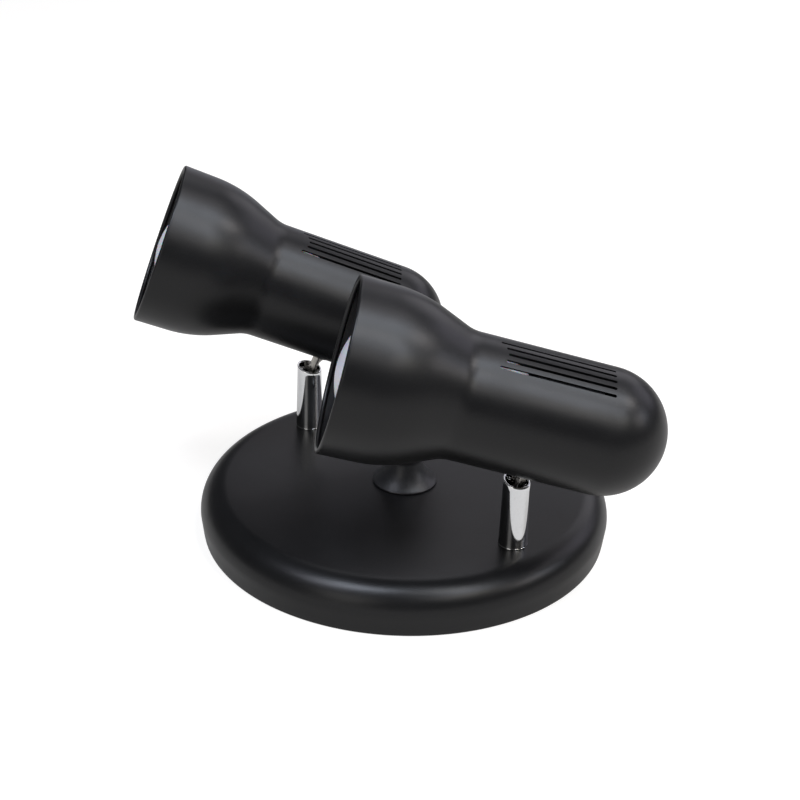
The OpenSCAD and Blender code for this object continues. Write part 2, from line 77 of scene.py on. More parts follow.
class SpotlightBaseSizes(bpy.types.PropertyGroup):
    """Sizes of the round cover, the knob and the threaded parts under them"""
    cover_d: length("Cover diameter", "Diameter of the base cover", 0.190)
    cover_h: length("Cover height", "Height of the base cover", 0.0225)
    edge_r: length("Edge radius", "Radius of the cover's rounded edge", 0.0125)
    wall: length("Cover wall", "Thickness of the cover's sheet", 0.0012)
    draft: length("Side draft", "How far the side wall leans in at the back", 0.0012)
    knob_d: length("Knob diameter", "Diameter of the knob's flange", 0.030)
    knob_h: length("Knob height", "Height of the knob", 0.0185)
    grip_d: length("Grip diameter", "Diameter of the knob's grip", 0.015)
    flutes: IntProperty(name="Flutes", description="Number of flutes round the grip", default=12, min=3, max=40)
    rod_d: length("Rod diameter", "Diameter of the central threaded rod", 0.006)
    nipple_d: length("Nipple diameter", "Diameter of the hollow threaded nipples", 0.0099)


class SpotlightStemSizes(bpy.types.PropertyGroup):
    """Sizes of a sleeve, its pin and its lug"""
    foot_d: length("Foot diameter", "Diameter of a sleeve at its foot", 0.0129)
    rim_d: length("Rim diameter", "Diameter of a sleeve at its rim", 0.0117)
    bore_d: length("Bore", "Bore of a sleeve", 0.010)
    rim_h: length("Rim height", "Height of the middle of the rim above the cover", 0.0316)
    rim_slant: turn("Rim slant", "Slant of the rim, low on the side the head leans to", 14)
    pivot_h: length("Pivot height", "Height of the pivot pin above the cover", 0.0261)
    pin_d: length("Pin diameter", "Diameter of the pivot pin", 0.0025)
    reach: length("Lug reach", "Distance from the pivot pin to the head's axis", 0.0456)
    tongue_w: length("Tongue width", "Width of the lug's tongue inside the sleeve", 0.0044)
    tongue_t: length("Tongue thickness", "Thickness of the lug's tongue", 0.0022)
    lug_w: length("Lug width", "Width of the lug above the rim", 0.0076)
    lug_t: length("Lug thickness", "Thickness of the lug above the rim", 0.0032)
    collar_d: length("Collar diameter", "Diameter of the collar under the head", 0.0132)
    collar_t: length("Collar thickness", "Thickness of the collar under the head", 0.002)
    stud_d: length("Stud diameter", "Diameter of the lug's threaded stud", 0.008)


class SpotlightHeadSizes(bpy.types.PropertyGroup):
    """Sizes of a head, its vent slots and its bulb"""
    mouth_d: length("Mouth diameter", "Outer diameter of the mouth", 0.075)
    tube_d: length("Tube diameter", "Outer diameter of the tube", 0.0542)
    head_l: length("Head length", "Length of the head", 0.140)
    lug_at: length("Lug place", "Distance from the mouth to the lug's axis", 0.0905)
    wall: length("Head wall", "Thickness of the head's sheet", 0.001)
    lip_angle: turn("Lip angle", "Angle of the lip's slight cone", 1.5)
    lip_l: length("Lip length", "Length of the lip's cone", 0.016)
    shoulder_r: length("Shoulder radius", "Radius of the shoulder behind the lip", 0.060)
    bell_angle: turn("Bell angle", "Angle of the bell's cone", 22.3)
    crease_r: length("Crease radius", "Radius of the crease between bell and tube", 0.016)
    slots: IntProperty(name="Slots", description="Number of vent slots", default=5, min=1, max=9)
    slot_step: turn("Slot step", "Angle between two vent slots", 8)
    slot_w: length("Slot width", "Width of a vent slot", 0.0014)
    slot_front: length("Slot front", "Distance from the mouth to the front of the outer slots", 0.0612)
    slot_back: length("Slot back", "Distance from the mouth to the back of the slots", 0.1100)
    slot_arch: length("Slot arch", "How much further back the middle slot starts", 0.003)
    bulb_d: length("Bulb diameter", "Diameter of the reflector bulb", 0.063)
    dome_r: length("Dome radius", "Radius of the bulb's front dome", 0.0325)
    bulb_drop: length("Bulb drop", "Distance of the bulb's axis below the head's axis", 0.001, 0.0)
    bulb_recess: length("Bulb recess", "Distance from the mouth's plane to the bulb's front", 0.0, -0.01)
    bead_r: length("Bead radius", "Radius of the rolled bead round the mouth", 0.0011)
    right_swivel: turn("Right swivel", "Turn of the right head on its lug", 227.2)
    left_swivel: turn("Left swivel", "Turn of the left head on its lug", 207.7)


class SpotlightColours(bpy.types.PropertyGroup):
    """Colours of the finishes"""
    enamel: colour("Enamel", "Satin black enamel of the cover and the heads", (0.006, 0.006, 0.0065))
    moulding: colour("Moulding", "Black moulded plastic", (0.012, 0.012, 0.013))
    chrome: colour("Chrome", "Polished plate of the sleeves and pins", (0.86, 0.87, 0.88))
    nickel: colour("Nickel", "Dull plate of the lugs", (0.56, 0.54, 0.50))
    zinc: colour("Zinc", "Plated steel of bar, nuts and washers", (0.62, 0.63, 0.65))
    brass: colour("Brass", "Plain brass contacts and screws", (0.72, 0.56, 0.26))
    block: colour("Block", "Moulding of the terminal block", (0.80, 0.79, 0.75))
    frosting: colour("Frosting", "Frosted front of the bulb", (0.88, 0.88, 0.95))
    silvering: colour("Silvering", "Mirror coat of the bulb's neck", (0.85, 0.85, 0.86))
    floor: colour("Floor", "Pale floor under the object", (0.37, 0.355, 0.33))


def sizes():
    s = bpy.context.scene
    return s.spotlight_base, s.spotlight_stem, s.spotlight_head, s.spotlight_colours


# Places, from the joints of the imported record.

def stem_place(side):
    axis = Vector(JOINTS[side + "_tilt"]["axis"])
    pan = math.atan2(-axis.x, axis.y)
    return Matrix.Translation(JOINTS[side + "_pan"]["pos_m"]) @ Matrix.Rotation(pan, 4, "Z")


def lug_place(side):
    up = Vector(JOINTS[side + "_swivel"]["axis"])
    lean = math.acos(up.z)
    place = stem_place(side)
    turned = place.to_3x3().to_4x4() @ Matrix.Rotation(lean, 4, "Y")
    return Matrix.Translation(JOINTS[side + "_tilt"]["pos_m"]) @ turned


def head_place(side):
    _, stem, head, _ = sizes()
    swivel = head.right_swivel if side == "right" else head.left_swivel
    return lug_place(side) @ Matrix.Translation((0, 0, stem.reach)) @ Matrix.Rotation(swivel, 4, "Z")


def axis_place(side, drop=0.0):
    """The head's axis as +Z, counted from the mouth towards the tail."""
    head = sizes()[2]
    shift = Matrix.Translation((head.lug_at, 0, -drop))
    return head_place(side) @ shift @ Matrix.Rotation(-math.pi / 2, 4, "Y")


# Outlines, as (radius, height) pairs.

def arc(centre, radius, start, end, steps):
    """Points on an arc. Angles are in radians from the first axis."""
    return [(centre[0] + radius * math.cos(start + (end - start) * i / steps),
             centre[1] + radius * math.sin(start + (end - start) * i / steps)) for i in range(steps + 1)]


def line(a, b, steps):
    return [(a[0] + (b[0] - a[0]) * i / steps, a[1] + (b[1] - a[1]) * i / steps) for i in range(steps + 1)]


def joined(*runs):
    out = []
    for run in runs:
        for p in run:
            if not out or math.dist(p, out[-1]) > 2e-6:
                out.append(p)
    return out


def head_outline(inset, lip_s):
    """From a height behind the mouth to the axis at the tail, set in by a wall thickness."""
    h = sizes()[2]
    mouth, tube = h.mouth_d / 2, h.tube_d / 2
    lip_end = mouth - h.lip_l * math.tan(h.lip_angle)
    shoulder = (lip_end - h.shoulder_r * math.cos(h.lip_angle),
                h.lip_l - h.shoulder_r * math.sin(h.lip_angle))
    bell = (shoulder[0] + h.shoulder_r * math.cos(h.bell_angle),
            shoulder[1] + h.shoulder_r * math.sin(h.bell_angle))
    crease_r0 = tube + h.crease_r * (1 - math.cos(h.bell_angle))
    crease_s = bell[1] + (bell[0] - crease_r0) / math.tan(h.bell_angle)
    crease = (tube + h.crease_r, crease_s + h.crease_r * math.sin(h.bell_angle))
    dome = h.head_l - tube
    curve = arc(shoulder, h.shoulder_r - inset, h.lip_angle, h.bell_angle, 16)
    bend = arc(crease, h.crease_r + inset, math.pi + h.bell_angle, math.pi, 8)
    start = (curve[0][0] + (curve[0][1] - lip_s) * math.tan(h.lip_angle), lip_s)
    tail = arc((0, dome), tube - inset, 0, math.pi / 2, 26)
    tail[-1] = (0.0, tail[-1][1])
    return joined(line(start, curve[0], 5), curve, line(curve[-1], bend[0], 4), bend,
                  line(bend[-1], tail[0], 10), tail)


def head_profile():
    """The wall's section: tail inside, rolled bead at the mouth, tail outside."""
    h = sizes()[2]
    meet = math.acos(1 - h.wall / h.bead_r)
    outer = head_outline(0.0, h.bead_r)
    inner = head_outline(h.wall, h.bead_r * (1 + math.sin(meet)))
    bead = arc((h.mouth_d / 2 - h.bead_r, h.bead_r), h.bead_r, meet, TAU, 24)
    return joined(list(reversed(inner)), bead, outer)


def cover_outline(inset):
    b = sizes()[0]
    r, side = b.edge_r - inset, b.cover_h - b.edge_r
    out = b.cover_d / 2
    top = arc((out - b.edge_r, side), r, 0, math.pi / 2, 20)
    return joined(line((out - inset - b.draft, 0.0), (out - inset, side), 5), top,
                  line(top[-1], (0.0, top[-1][1]), 14))


def cover_profile():
    outer, inner = cover_outline(0.0), cover_outline(sizes()[0].wall)
    w = sizes()[0].wall
    foot = arc((outer[0][0] - w / 2, w / 2), w / 2, TAU, math.pi, 8)
    return joined(list(reversed(inner[1:])), list(reversed(foot)), outer[1:])


def knob_profile():
    b = sizes()[0]
    flange, grip = b.knob_d / 2, b.grip_d / 2
    neck = (grip + 0.6 * MM, 9.4 * MM)
    foot = (flange - 0.35 * MM, 1.1 * MM)
    top = b.knob_h
    chord, flare_turn = math.dist(foot, neck), math.radians(17)
    flare_r = chord / 2 / math.sin(flare_turn)
    out = ((neck[1] - foot[1]) / chord, (foot[0] - neck[0]) / chord)
    reach = flare_r * math.cos(flare_turn)
    centre = ((foot[0] + neck[0]) / 2 + reach * out[0], (foot[1] + neck[1]) / 2 + reach * out[1])
    start = math.atan2(foot[1] - centre[1], foot[0] - centre[0]) + TAU
    return joined([(0.0, 0.0)], line((0.0, 0.0), (flange - 0.5 * MM, 0.0), 6),
                  arc((flange - 0.55 * MM, 0.55 * MM), 0.55 * MM, -math.pi / 2, 1.1, 8),
                  arc(centre, flare_r, start, start - 2 * flare_turn, 16),
                  line(neck, (grip, 11.0 * MM), 5),
                  line((grip, 11.0 * MM), (grip, top - 3 * MM), 6),
                  arc((grip - 3 * MM, top - 3 * MM), 3 * MM, 0, math.pi / 2, 8),
                  line((grip - 3 * MM, top), (0.0, top), 4))


# The bulb's glass: rounding of its widest part, slope of its cone, radius in the cap. Places count from its front.
BULB_SIDE_R = 20 * MM
BULB_CONE = math.radians(17)
BULB_NECK_R = 13 * MM
BULB_NECK_S = 75.5 * MM
BULB_CAP_S = 79 * MM
SILVER_FROM = 27 * MM


def bulb_outline():
    """From the front of the dome to the end of the glass neck."""
    h = sizes()[2]
    rb, rd, side = h.bulb_d / 2, h.dome_r, BULB_SIDE_R
    lean = math.asin((rb - side) / (rd - side))
    centre = (rb - side, rd - (rd - side) * math.cos(lean))
    dome = arc((0, rd), rd, -math.pi / 2, -math.pi / 2 + lean, 30)
    dome[0] = (0.0, 0.0)
    flank = arc(centre, side, -math.pi / 2 + lean, BULB_CONE, 20)
    end = flank[-1]
    neck = (end[0] - (BULB_NECK_S - end[1]) * math.tan(BULB_CONE), BULB_NECK_S)
    in_cap = (BULB_NECK_R, BULB_CAP_S)
    return joined(dome, flank, line(end, neck, 12), line(neck, in_cap, 3), line(in_cap, (0.0, BULB_CAP_S), 3))


# Geometry nodes.

class Tree:
    """A geometry node tree with named inputs."""

    def __init__(self, name, inputs):
        self.group = bpy.data.node_groups.new(name, "GeometryNodeTree")
        face = self.group.interface
        face.new_socket("Geometry", in_out="INPUT", socket_type="NodeSocketGeometry")
        for label, kind, value in inputs:
            s = face.new_socket(label, in_out="INPUT", socket_type=kind)
            if value is not None:
                s.default_value = value
        face.new_socket("Geometry", in_out="OUTPUT", socket_type="NodeSocketGeometry")
        self.input = self.add("NodeGroupInput")
        self.output = self.add("NodeGroupOutput")

    def add(self, kind, **settings):
        node = self.group.nodes.new(kind)
        for key, value in settings.items():
            setattr(node, key, value)
        return node

    def link(self, source, target):
        self.group.links.new(source, target)

    def put(self, target, value):
        """Links a socket, or sets a plain value."""
        if isinstance(value, bpy.types.NodeSocket):
            self.link(value, target)
        else:
            target.default_value = value

    def math(self, operation, a, b=None, c=None):
        node = self.add("ShaderNodeMath", operation=operation)
        for i, value in enumerate((a, b, c)):
            if value is not None:
                self.put(node.inputs[i], value)
        return node.outputs[0]

    def vector(self, x, y, z):
        node = self.add("ShaderNodeCombineXYZ")
        for i, value in enumerate((x, y, z)):
            self.put(node.inputs[i], value)
        return node.outputs[0]

    def finish(self, geometry, material):
        """Shades smooth up to sharp edges, realizes instances and sets the material."""
        smooth = self.add("GeometryNodeSetShadeSmooth", domain="FACE")
        self.link(geometry, smooth.inputs["Geometry"])
        smooth.inputs["Shade Smooth"].default_value = True
        angle = self.add("GeometryNodeInputMeshEdgeAngle")
        test = self.math("GREATER_THAN", angle.outputs["Unsigned Angle"], SHARP)
        crisp = self.add("GeometryNodeSetShadeSmooth", domain="EDGE")
        self.link(smooth.outputs[0], crisp.inputs["Geometry"])
        self.link(test, crisp.inputs["Selection"])
        crisp.inputs["Shade Smooth"].default_value = False
        real = self.add("GeometryNodeRealizeInstances")
        self.link(crisp.outputs[0], real.inputs[0])
        paint = self.add("GeometryNodeSetMaterial")
        self.link(real.outputs[0], paint.inputs["Geometry"])
        paint.inputs["Material"].default_value = material
        self.link(paint.outputs[0], self.output.inputs[0])

    def spin(self, profile, points, segments):
        """Turns a row of profile points about Z. Index runs along the profile first."""
        grid = self.add("GeometryNodeMeshGrid")
        self.put(grid.inputs["Vertices X"], points)
        self.put(grid.inputs["Vertices Y"], self.math("ADD", segments, 1.0))
        index = self.add("GeometryNodeInputIndex").outputs[0]
        per_row = self.math("ADD", segments, 1.0)
        row = self.math("FLOOR", self.math("DIVIDE", self.math("ADD", index, 0.5), per_row))
        column = self.math("SUBTRACT", index, self.math("MULTIPLY", row, per_row))
        sample = self.add("GeometryNodeSampleIndex", data_type="FLOAT_VECTOR", domain="POINT")
        self.link(profile, sample.inputs["Geometry"])
        self.link(self.add("GeometryNodeInputPosition").outputs[0], sample.inputs["Value"])
        self.link(row, sample.inputs["Index"])
        split = self.add("ShaderNodeSeparateXYZ")
        self.link(sample.outputs[0], split.inputs[0])
        angle = self.math("DIVIDE", self.math("MULTIPLY", column, TAU), segments)
        place = self.vector(self.math("MULTIPLY", split.outputs["X"], self.math("COSINE", angle)),
                            self.math("MULTIPLY", split.outputs["X"], self.math("SINE", angle)),
                            split.outputs["Z"])
        move = self.add("GeometryNodeSetPosition")
        self.link(grid.outputs["Mesh"], move.inputs["Geometry"])
        self.link(place, move.inputs["Position"])
        merge = self.add("GeometryNodeMergeByDistance")
        self.link(move.outputs[0], merge.inputs["Geometry"])
        merge.inputs["Distance"].default_value = 1e-6
        return merge.outputs[0]


def spun_tree(material):
    """A form turned from a profile, with nothing cut into it."""
    t = Tree("Spun form", [("Profile points", "NodeSocketInt", 2), ("Segments", "NodeSocketInt", 180)])
    i = t.input.outputs
    t.finish(t.spin(i["Geometry"], i["Profile points"], i["Segments"]), material)
    return t.group


def slotted_tree(material):
    """A spun shell with a fan of round-ended slots along its axis, and a hole for the stud."""
    names = ("Slot step", "Slot width", "Slot front", "Slot back", "Slot arch",
             "Outer radius", "Stud place", "Stud hole")
    t = Tree("Slotted shell", [("Profile points", "NodeSocketInt", 2), ("Segments", "NodeSocketInt", 180),
                               ("Slots", "NodeSocketInt", 5)] + [(n, "NodeSocketFloat", None) for n in names])
    i = t.input.outputs
    shell = t.spin(i["Geometry"], i["Profile points"], i["Segments"])
    middle = t.math("DIVIDE", t.math("SUBTRACT", i["Slots"], 1.0), 2.0)
    plan = t.add("GeometryNodeCurvePrimitiveQuadrilateral")
    t.link(t.math("SUBTRACT", i["Slot back"], i["Slot front"]), plan.inputs["Width"])
    t.link(i["Slot width"], plan.inputs["Height"])
    rounded = t.add("GeometryNodeFilletCurve", mode="POLY")
    t.link(plan.outputs[0], rounded.inputs["Curve"])
    rounded.inputs["Count"].default_value = 6
    t.link(t.math("MULTIPLY", i["Slot width"], 0.499), rounded.inputs["Radius"])
    fill = t.add("GeometryNodeFillCurve", mode="NGONS")
    t.link(rounded.outputs[0], fill.inputs["Curve"])
    block = t.add("GeometryNodeExtrudeMesh", mode="FACES")
    t.link(fill.outputs[0], block.inputs["Mesh"])
    t.link(i["Outer radius"], block.inputs["Offset Scale"])
    block.inputs["Individual"].default_value = False
    both = t.add("GeometryNodeJoinGeometry")
    base = t.add("GeometryNodeFlipFaces")
    t.link(fill.outputs[0], base.inputs[0])
    t.link(block.outputs["Mesh"], both.inputs[0])
    t.link(base.outputs[0], both.inputs[0])
    weld = t.add("GeometryNodeMergeByDistance")
    t.link(both.outputs[0], weld.inputs["Geometry"])
    weld.inputs["Distance"].default_value = 1e-6
    along = t.add("GeometryNodeTransform")
    t.link(weld.outputs[0], along.inputs["Geometry"])
    along.inputs["Rotation"].default_value = (0, math.pi / 2, 0)
    half = t.math("DIVIDE", t.math("ADD", i["Slot front"], i["Slot back"]), 2.0)
    t.link(t.vector(t.math("MULTIPLY", i["Outer radius"], 0.5), 0.0, half), along.inputs["Translation"])
    fan = t.add("GeometryNodeMeshLine")
    t.link(i["Slots"], fan.inputs["Count"])
    fan.inputs["Offset"].default_value = (0, 0, 0)
    index = t.add("GeometryNodeInputIndex").outputs[0]
    place = t.add("GeometryNodeInstanceOnPoints")
    t.link(fan.outputs[0], place.inputs["Points"])
    t.link(along.outputs[0], place.inputs["Instance"])
    turned = t.math("MULTIPLY", t.math("SUBTRACT", index, middle), i["Slot step"])
    t.link(t.vector(0.0, 0.0, turned), place.inputs["Rotation"])
    mark = t.add("GeometryNodeStoreNamedAttribute", data_type="FLOAT", domain="INSTANCE")
    t.link(place.outputs[0], mark.inputs["Geometry"])
    mark.inputs["Name"].default_value = "slot number"
    t.link(index, mark.inputs["Value"])
    real = t.add("GeometryNodeRealizeInstances")
    t.link(mark.outputs[0], real.inputs[0])
    number = t.add("GeometryNodeInputNamedAttribute", data_type="FLOAT")
    number.inputs["Name"].default_value = "slot number"
    share = t.math("DIVIDE", t.math("SUBTRACT", number.outputs[0], middle), middle)
    arch = t.math("MULTIPLY", i["Slot arch"], t.math("SUBTRACT", 1.0, t.math("MULTIPLY", share, share)))
    here = t.add("ShaderNodeSeparateXYZ")
    t.link(t.add("GeometryNodeInputPosition").outputs[0], here.inputs[0])
    near = t.math("LESS_THAN", here.outputs["Z"], half)
    shift = t.add("GeometryNodeSetPosition")
    t.link(real.outputs[0], shift.inputs["Geometry"])
    t.link(near, shift.inputs["Selection"])
    t.link(t.vector(0.0, 0.0, arch), shift.inputs["Offset"])
    drill = t.add("GeometryNodeMeshCylinder")
    drill.inputs["Vertices"].default_value = 48
    t.link(i["Stud hole"], drill.inputs["Radius"])
    t.link(i["Outer radius"], drill.inputs["Depth"])
    drilled = t.add("GeometryNodeTransform")
    t.link(drill.outputs[0], drilled.inputs["Geometry"])
    drilled.inputs["Rotation"].default_value = (0, math.pi / 2, 0)
    far_side = t.math("MULTIPLY", i["Outer radius"], -1.0)
    t.link(t.vector(far_side, 0.0, i["Stud place"]), drilled.inputs["Translation"])
    cut = t.add("GeometryNodeMeshBoolean", operation="DIFFERENCE", solver="EXACT")
    t.link(shell, cut.inputs["Mesh 1"])
    t.link(shift.outputs[0], cut.inputs["Mesh 2"])
    t.link(drilled.outputs[0], cut.inputs["Mesh 2"])
    t.finish(cut.outputs["Mesh"], material)
    return t.group


# How many times as tall as wide the balls are that cut the flutes.
FLUTE_STRETCH = 7.0


def fluted_tree(material):
    """A spun knob with flutes cut round its grip."""
    t = Tree("Fluted knob", [("Profile points", "NodeSocketInt", 2), ("Segments", "NodeSocketInt", 180),
                             ("Flutes", "NodeSocketInt", 12), ("Flute circle", "NodeSocketFloat", None),
                             ("Flute radius", "NodeSocketFloat", None), ("Flute foot", "NodeSocketFloat", None)])
    i = t.input.outputs
    body = t.spin(i["Geometry"], i["Profile points"], i["Segments"])
    ring = t.add("GeometryNodeMeshCircle")
    t.link(i["Flutes"], ring.inputs["Vertices"])
    t.link(i["Flute circle"], ring.inputs["Radius"])
    rod = t.add("GeometryNodeMeshUVSphere")
    rod.inputs["Segments"].default_value = 24
    rod.inputs["Rings"].default_value = 12
    t.link(i["Flute radius"], rod.inputs["Radius"])
    tall = t.add("GeometryNodeTransform")
    t.link(rod.outputs[0], tall.inputs["Geometry"])
    tall.inputs["Scale"].default_value = (1, 1, FLUTE_STRETCH)
    lift = t.math("ADD", i["Flute foot"], t.math("MULTIPLY", i["Flute radius"], FLUTE_STRETCH))
    t.link(t.vector(0.0, 0.0, lift), tall.inputs["Translation"])
    place = t.add("GeometryNodeInstanceOnPoints")
    t.link(ring.outputs[0], place.inputs["Points"])
    t.link(tall.outputs[0], place.inputs["Instance"])
    real = t.add("GeometryNodeRealizeInstances")
    t.link(place.outputs[0], real.inputs[0])
    cut = t.add("GeometryNodeMeshBoolean", operation="DIFFERENCE", solver="MANIFOLD")
    t.link(body, cut.inputs["Mesh 1"])
    t.link(real.outputs[0], cut.inputs["Mesh 2"])
    t.finish(cut.outputs["Mesh"], material)
    return t.group


def threaded_tree(material):
    """A spun form whose stretch between two heights carries a screw thread."""
    names = ("Pitch", "Depth", "Thread from", "Thread to", "Least radius")
    t = Tree("Threaded form", [("Profile points", "NodeSocketInt", 2), ("Segments", "NodeSocketInt", 48)] +
             [(n, "NodeSocketFloat", None) for n in names])
    i = t.input.outputs
    body = t.spin(i["Geometry"], i["Profile points"], i["Segments"])
    here = t.add("ShaderNodeSeparateXYZ")
    t.link(t.add("GeometryNodeInputPosition").outputs[0], here.inputs[0])
    x, y, z = here.outputs
    radius = t.math("SQRT", t.math("ADD", t.math("MULTIPLY", x, x), t.math("MULTIPLY", y, y)))
    angle = t.math("DIVIDE", t.math("ARCTAN2", y, x), TAU)
    phase = t.math("SUBTRACT", t.math("DIVIDE", z, i["Pitch"]), angle)
    wave = t.math("ABSOLUTE", t.math("SUBTRACT", t.math("FRACT", t.math("ADD", phase, 100.0)), 0.5))
    inside = t.math("MULTIPLY", t.math("GREATER_THAN", z, i["Thread from"]),
                    t.math("LESS_THAN", z, i["Thread to"]))
    chosen = t.math("MULTIPLY", inside, t.math("GREATER_THAN", radius, i["Least radius"]))
    dip = t.math("MULTIPLY", t.math("MULTIPLY", i["Depth"], -2.0), wave)
    factor = t.math("DIVIDE", t.math("MULTIPLY", dip, chosen), t.math("MAXIMUM", radius, 1e-5))
    move = t.add("GeometryNodeSetPosition")
    t.link(body, move.inputs["Geometry"])
    t.link(t.vector(t.math("MULTIPLY", x, factor), t.math("MULTIPLY", y, factor), 0.0), move.inputs["Offset"])
    t.finish(move.outputs[0], material)
    return t.group


def grown(name, profile, tree, values):
    """Runs a tree on a profile and returns the result as a plain mesh object."""
    wire = bpy.data.meshes.new(name)
    wire.from_pydata([(r, 0.0, z) for r, z in profile], [(k, k + 1) for k in range(len(profile) - 1)], [])
    obj = bpy.data.objects.new(name, wire)
    bpy.context.scene.collection.objects.link(obj)
    modifier = obj.modifiers.new("Form", "NODES")
    modifier.node_group = tree
    values = {"Profile points": len(profile), **values}
    for item in tree.interface.items_tree:
        if item.in_out == "INPUT" and item.name in values:
            modifier[item.identifier] = values[item.name]
    depsgraph = bpy.context.evaluated_depsgraph_get()
    mesh = bpy.data.meshes.new_from_object(obj.evaluated_get(depsgraph), depsgraph=depsgraph)
    obj.modifiers.remove(modifier)
    obj.data = mesh
    mesh.name = name
    bpy.data.meshes.remove(wire)
    if not mesh.polygons:
        raise RuntimeError(name + " came out empty")
    return obj


def outward(obj):
    """Turns the faces outwards and drops the leftover attributes."""
    for stale in [a.name for a in obj.data.attributes if a.name == "slot number"]:
        obj.data.attributes.remove(obj.data.attributes[stale])
    bm = bmesh.new()
    bm.from_mesh(obj.data)
    bmesh.ops.remove_doubles(bm, verts=bm.verts, dist=1e-7)
    bmesh.ops.recalc_face_normals(bm, faces=bm.faces)
    if bm.calc_volume(signed=True) < 0:
        bmesh.ops.reverse_faces(bm, faces=bm.faces)
    bm.to_mesh(obj.data)
    bm.free()
    return obj


def piece(obj, place, body, nodes):
    """Puts a finished mesh in its place, hangs it on its body and hides the CAD nodes it stands for."""
    obj.data.transform(place)
    obj.data.update()
    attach(obj, body)
    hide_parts(*nodes)
    return obj


def mesh_piece(name, bm, material):
    """A mesh object from bmesh, smooth up to its sharp edges."""
    mesh = bpy.data.meshes.new(name)
    bmesh.ops.recalc_face_normals(bm, faces=bm.faces)
    for face in bm.faces:
        face.smooth = True
    for edge in bm.edges:
        if len(edge.link_faces) == 2 and edge.calc_face_angle(0.0) > SHARP:
            edge.smooth = False
    bm.to_mesh(mesh)
    bm.free()
    mesh.materials.append(material)
    obj = bpy.data.objects.new(name, mesh)
    bpy.context.scene.collection.objects.link(obj)
    return obj


# Materials.

class Finish:
    """A Principled material whose detail comes from noise on object coordinates."""

    def __init__(self, name, base, metallic=0.0, roughness=0.5, specular=0.5):
        self.material = bpy.data.materials.new(name)
        self.material.use_nodes = True
        self.nodes = self.material.node_tree.nodes
        self.links = self.material.node_tree.links
        self.shader = self.nodes["Principled BSDF"]
        self.coordinates = self.nodes.new("ShaderNodeTexCoord")
        self.base = tuple(base) + (1.0,)
        self.shader.inputs["Base Color"].default_value = self.base
        self.shader.inputs["Metallic"].default_value = metallic
        self.shader.inputs["Roughness"].default_value = roughness
        self.shader.inputs["Specular IOR Level"].default_value = specular

    def noise(self, scale, detail=2.0, stretch=(1, 1, 1)):
        mapping = self.nodes.new("ShaderNodeMapping")
        mapping.inputs["Scale"].default_value = stretch
        self.links.new(self.coordinates.outputs["Object"], mapping.inputs["Vector"])
        tex = self.nodes.new("ShaderNodeTexNoise")
        tex.inputs["Scale"].default_value = scale
        tex.inputs["Detail"].default_value = detail
        self.links.new(mapping.outputs["Vector"], tex.inputs["Vector"])
        return tex.outputs["Fac"]

    def ranged(self, factor, low, high, start=0.3, end=0.7):
        node = self.nodes.new("ShaderNodeMapRange")
        self.links.new(factor, node.inputs["Value"])
        for key, value in (("From Min", start), ("From Max", end), ("To Min", low), ("To Max", high)):
            node.inputs[key].default_value = value
        return node.outputs["Result"]

    def rough(self, factor, low, high):
        self.links.new(self.ranged(factor, low, high), self.shader.inputs["Roughness"])

    def tint(self, factor, other):
        ramp = self.nodes.new("ShaderNodeMix")
        ramp.data_type = "RGBA"
        ramp.inputs["A"].default_value = self.base
        ramp.inputs["B"].default_value = tuple(other) + (1.0,)
        self.links.new(factor, ramp.inputs["Factor"])
        self.links.new(ramp.outputs["Result"], self.shader.inputs["Base Color"])

    def bump(self, factor, strength, distance):
        node = self.nodes.new("ShaderNodeBump")
        node.inputs["Strength"].default_value = strength
        node.inputs["Distance"].default_value = distance
        self.links.new(factor, node.inputs["Height"])
        last = self.shader.inputs["Normal"]
        if last.is_linked:
            self.links.new(last.links[0].from_socket, node.inputs["Normal"])
        self.links.new(node.outputs["Normal"], last)


def shade(colour_value, share):
    """A colour made lighter or darker by that share."""
    return tuple(min(1.0, c * share) for c in colour_value)


def enamel_finish(name, c):
    f = Finish(name, c.enamel, roughness=0.34, specular=0.4)
    f.rough(f.noise(60, 4), 0.32, 0.37)
    f.tint(f.ranged(f.noise(2600, 2), 0.0, 1.0, 0.58, 0.74), shade(c.enamel, 2.2))
    f.bump(f.noise(2200, 3), 0.10, 0.00004)
    f.bump(f.noise(260, 2), 0.06, 0.0002)
    return f.material


# Painted shade: a darker, duller copy of the enamel for the shell's inside and its slot walls, where shade falls.
def painted_inside_shade_finish(name, c):
    f = Finish(name, shade(c.enamel, 0.6), roughness=0.7, specular=0.12)
    f.rough(f.noise(200, 4), 0.62, 0.78)
    f.tint(f.ranged(f.noise(500, 3), 0.0, 1.0), shade(c.enamel, 0.9))
    f.bump(f.noise(1500, 3), 0.08, 0.00005)
    return f.material


def moulding_finish(name, c):
    f = Finish(name, c.moulding, roughness=0.4)
    f.rough(f.noise(400, 3), 0.36, 0.46)
    f.tint(f.ranged(f.noise(1500, 2), 0.0, 1.0), shade(c.moulding, 1.5))
    f.bump(f.noise(3000, 2), 0.08, 0.00003)
    return f.material


def chrome_finish(name, c):
    f = Finish(name, c.chrome, metallic=1.0, roughness=0.05)
    f.rough(f.noise(500, 4), 0.03, 0.075)
    f.tint(f.ranged(f.noise(900, 3), 0.0, 1.0, 0.5, 0.8), shade(c.chrome, 0.93))
    f.bump(f.noise(180, 2), 0.03, 0.0002)
    return f.material


def nickel_finish(name, c):
    f = Finish(name, c.nickel, metallic=1.0, roughness=0.3)
    f.rough(f.noise(900, 3, (1, 1, 0.15)), 0.22, 0.40)
    f.tint(f.ranged(f.noise(700, 4), 0.0, 1.0), shade(c.nickel, 0.8))
    f.bump(f.noise(2400, 3, (1, 1, 0.1)), 0.12, 0.00004)
    return f.material


def zinc_finish(name, c):
    f = Finish(name, c.zinc, metallic=1.0, roughness=0.34)
    f.rough(f.noise(300, 4), 0.26, 0.44)
    f.tint(f.ranged(f.noise(150, 5), 0.0, 1.0), shade(c.zinc, 0.86))
    f.bump(f.noise(1800, 3), 0.10, 0.00005)
    return f.material


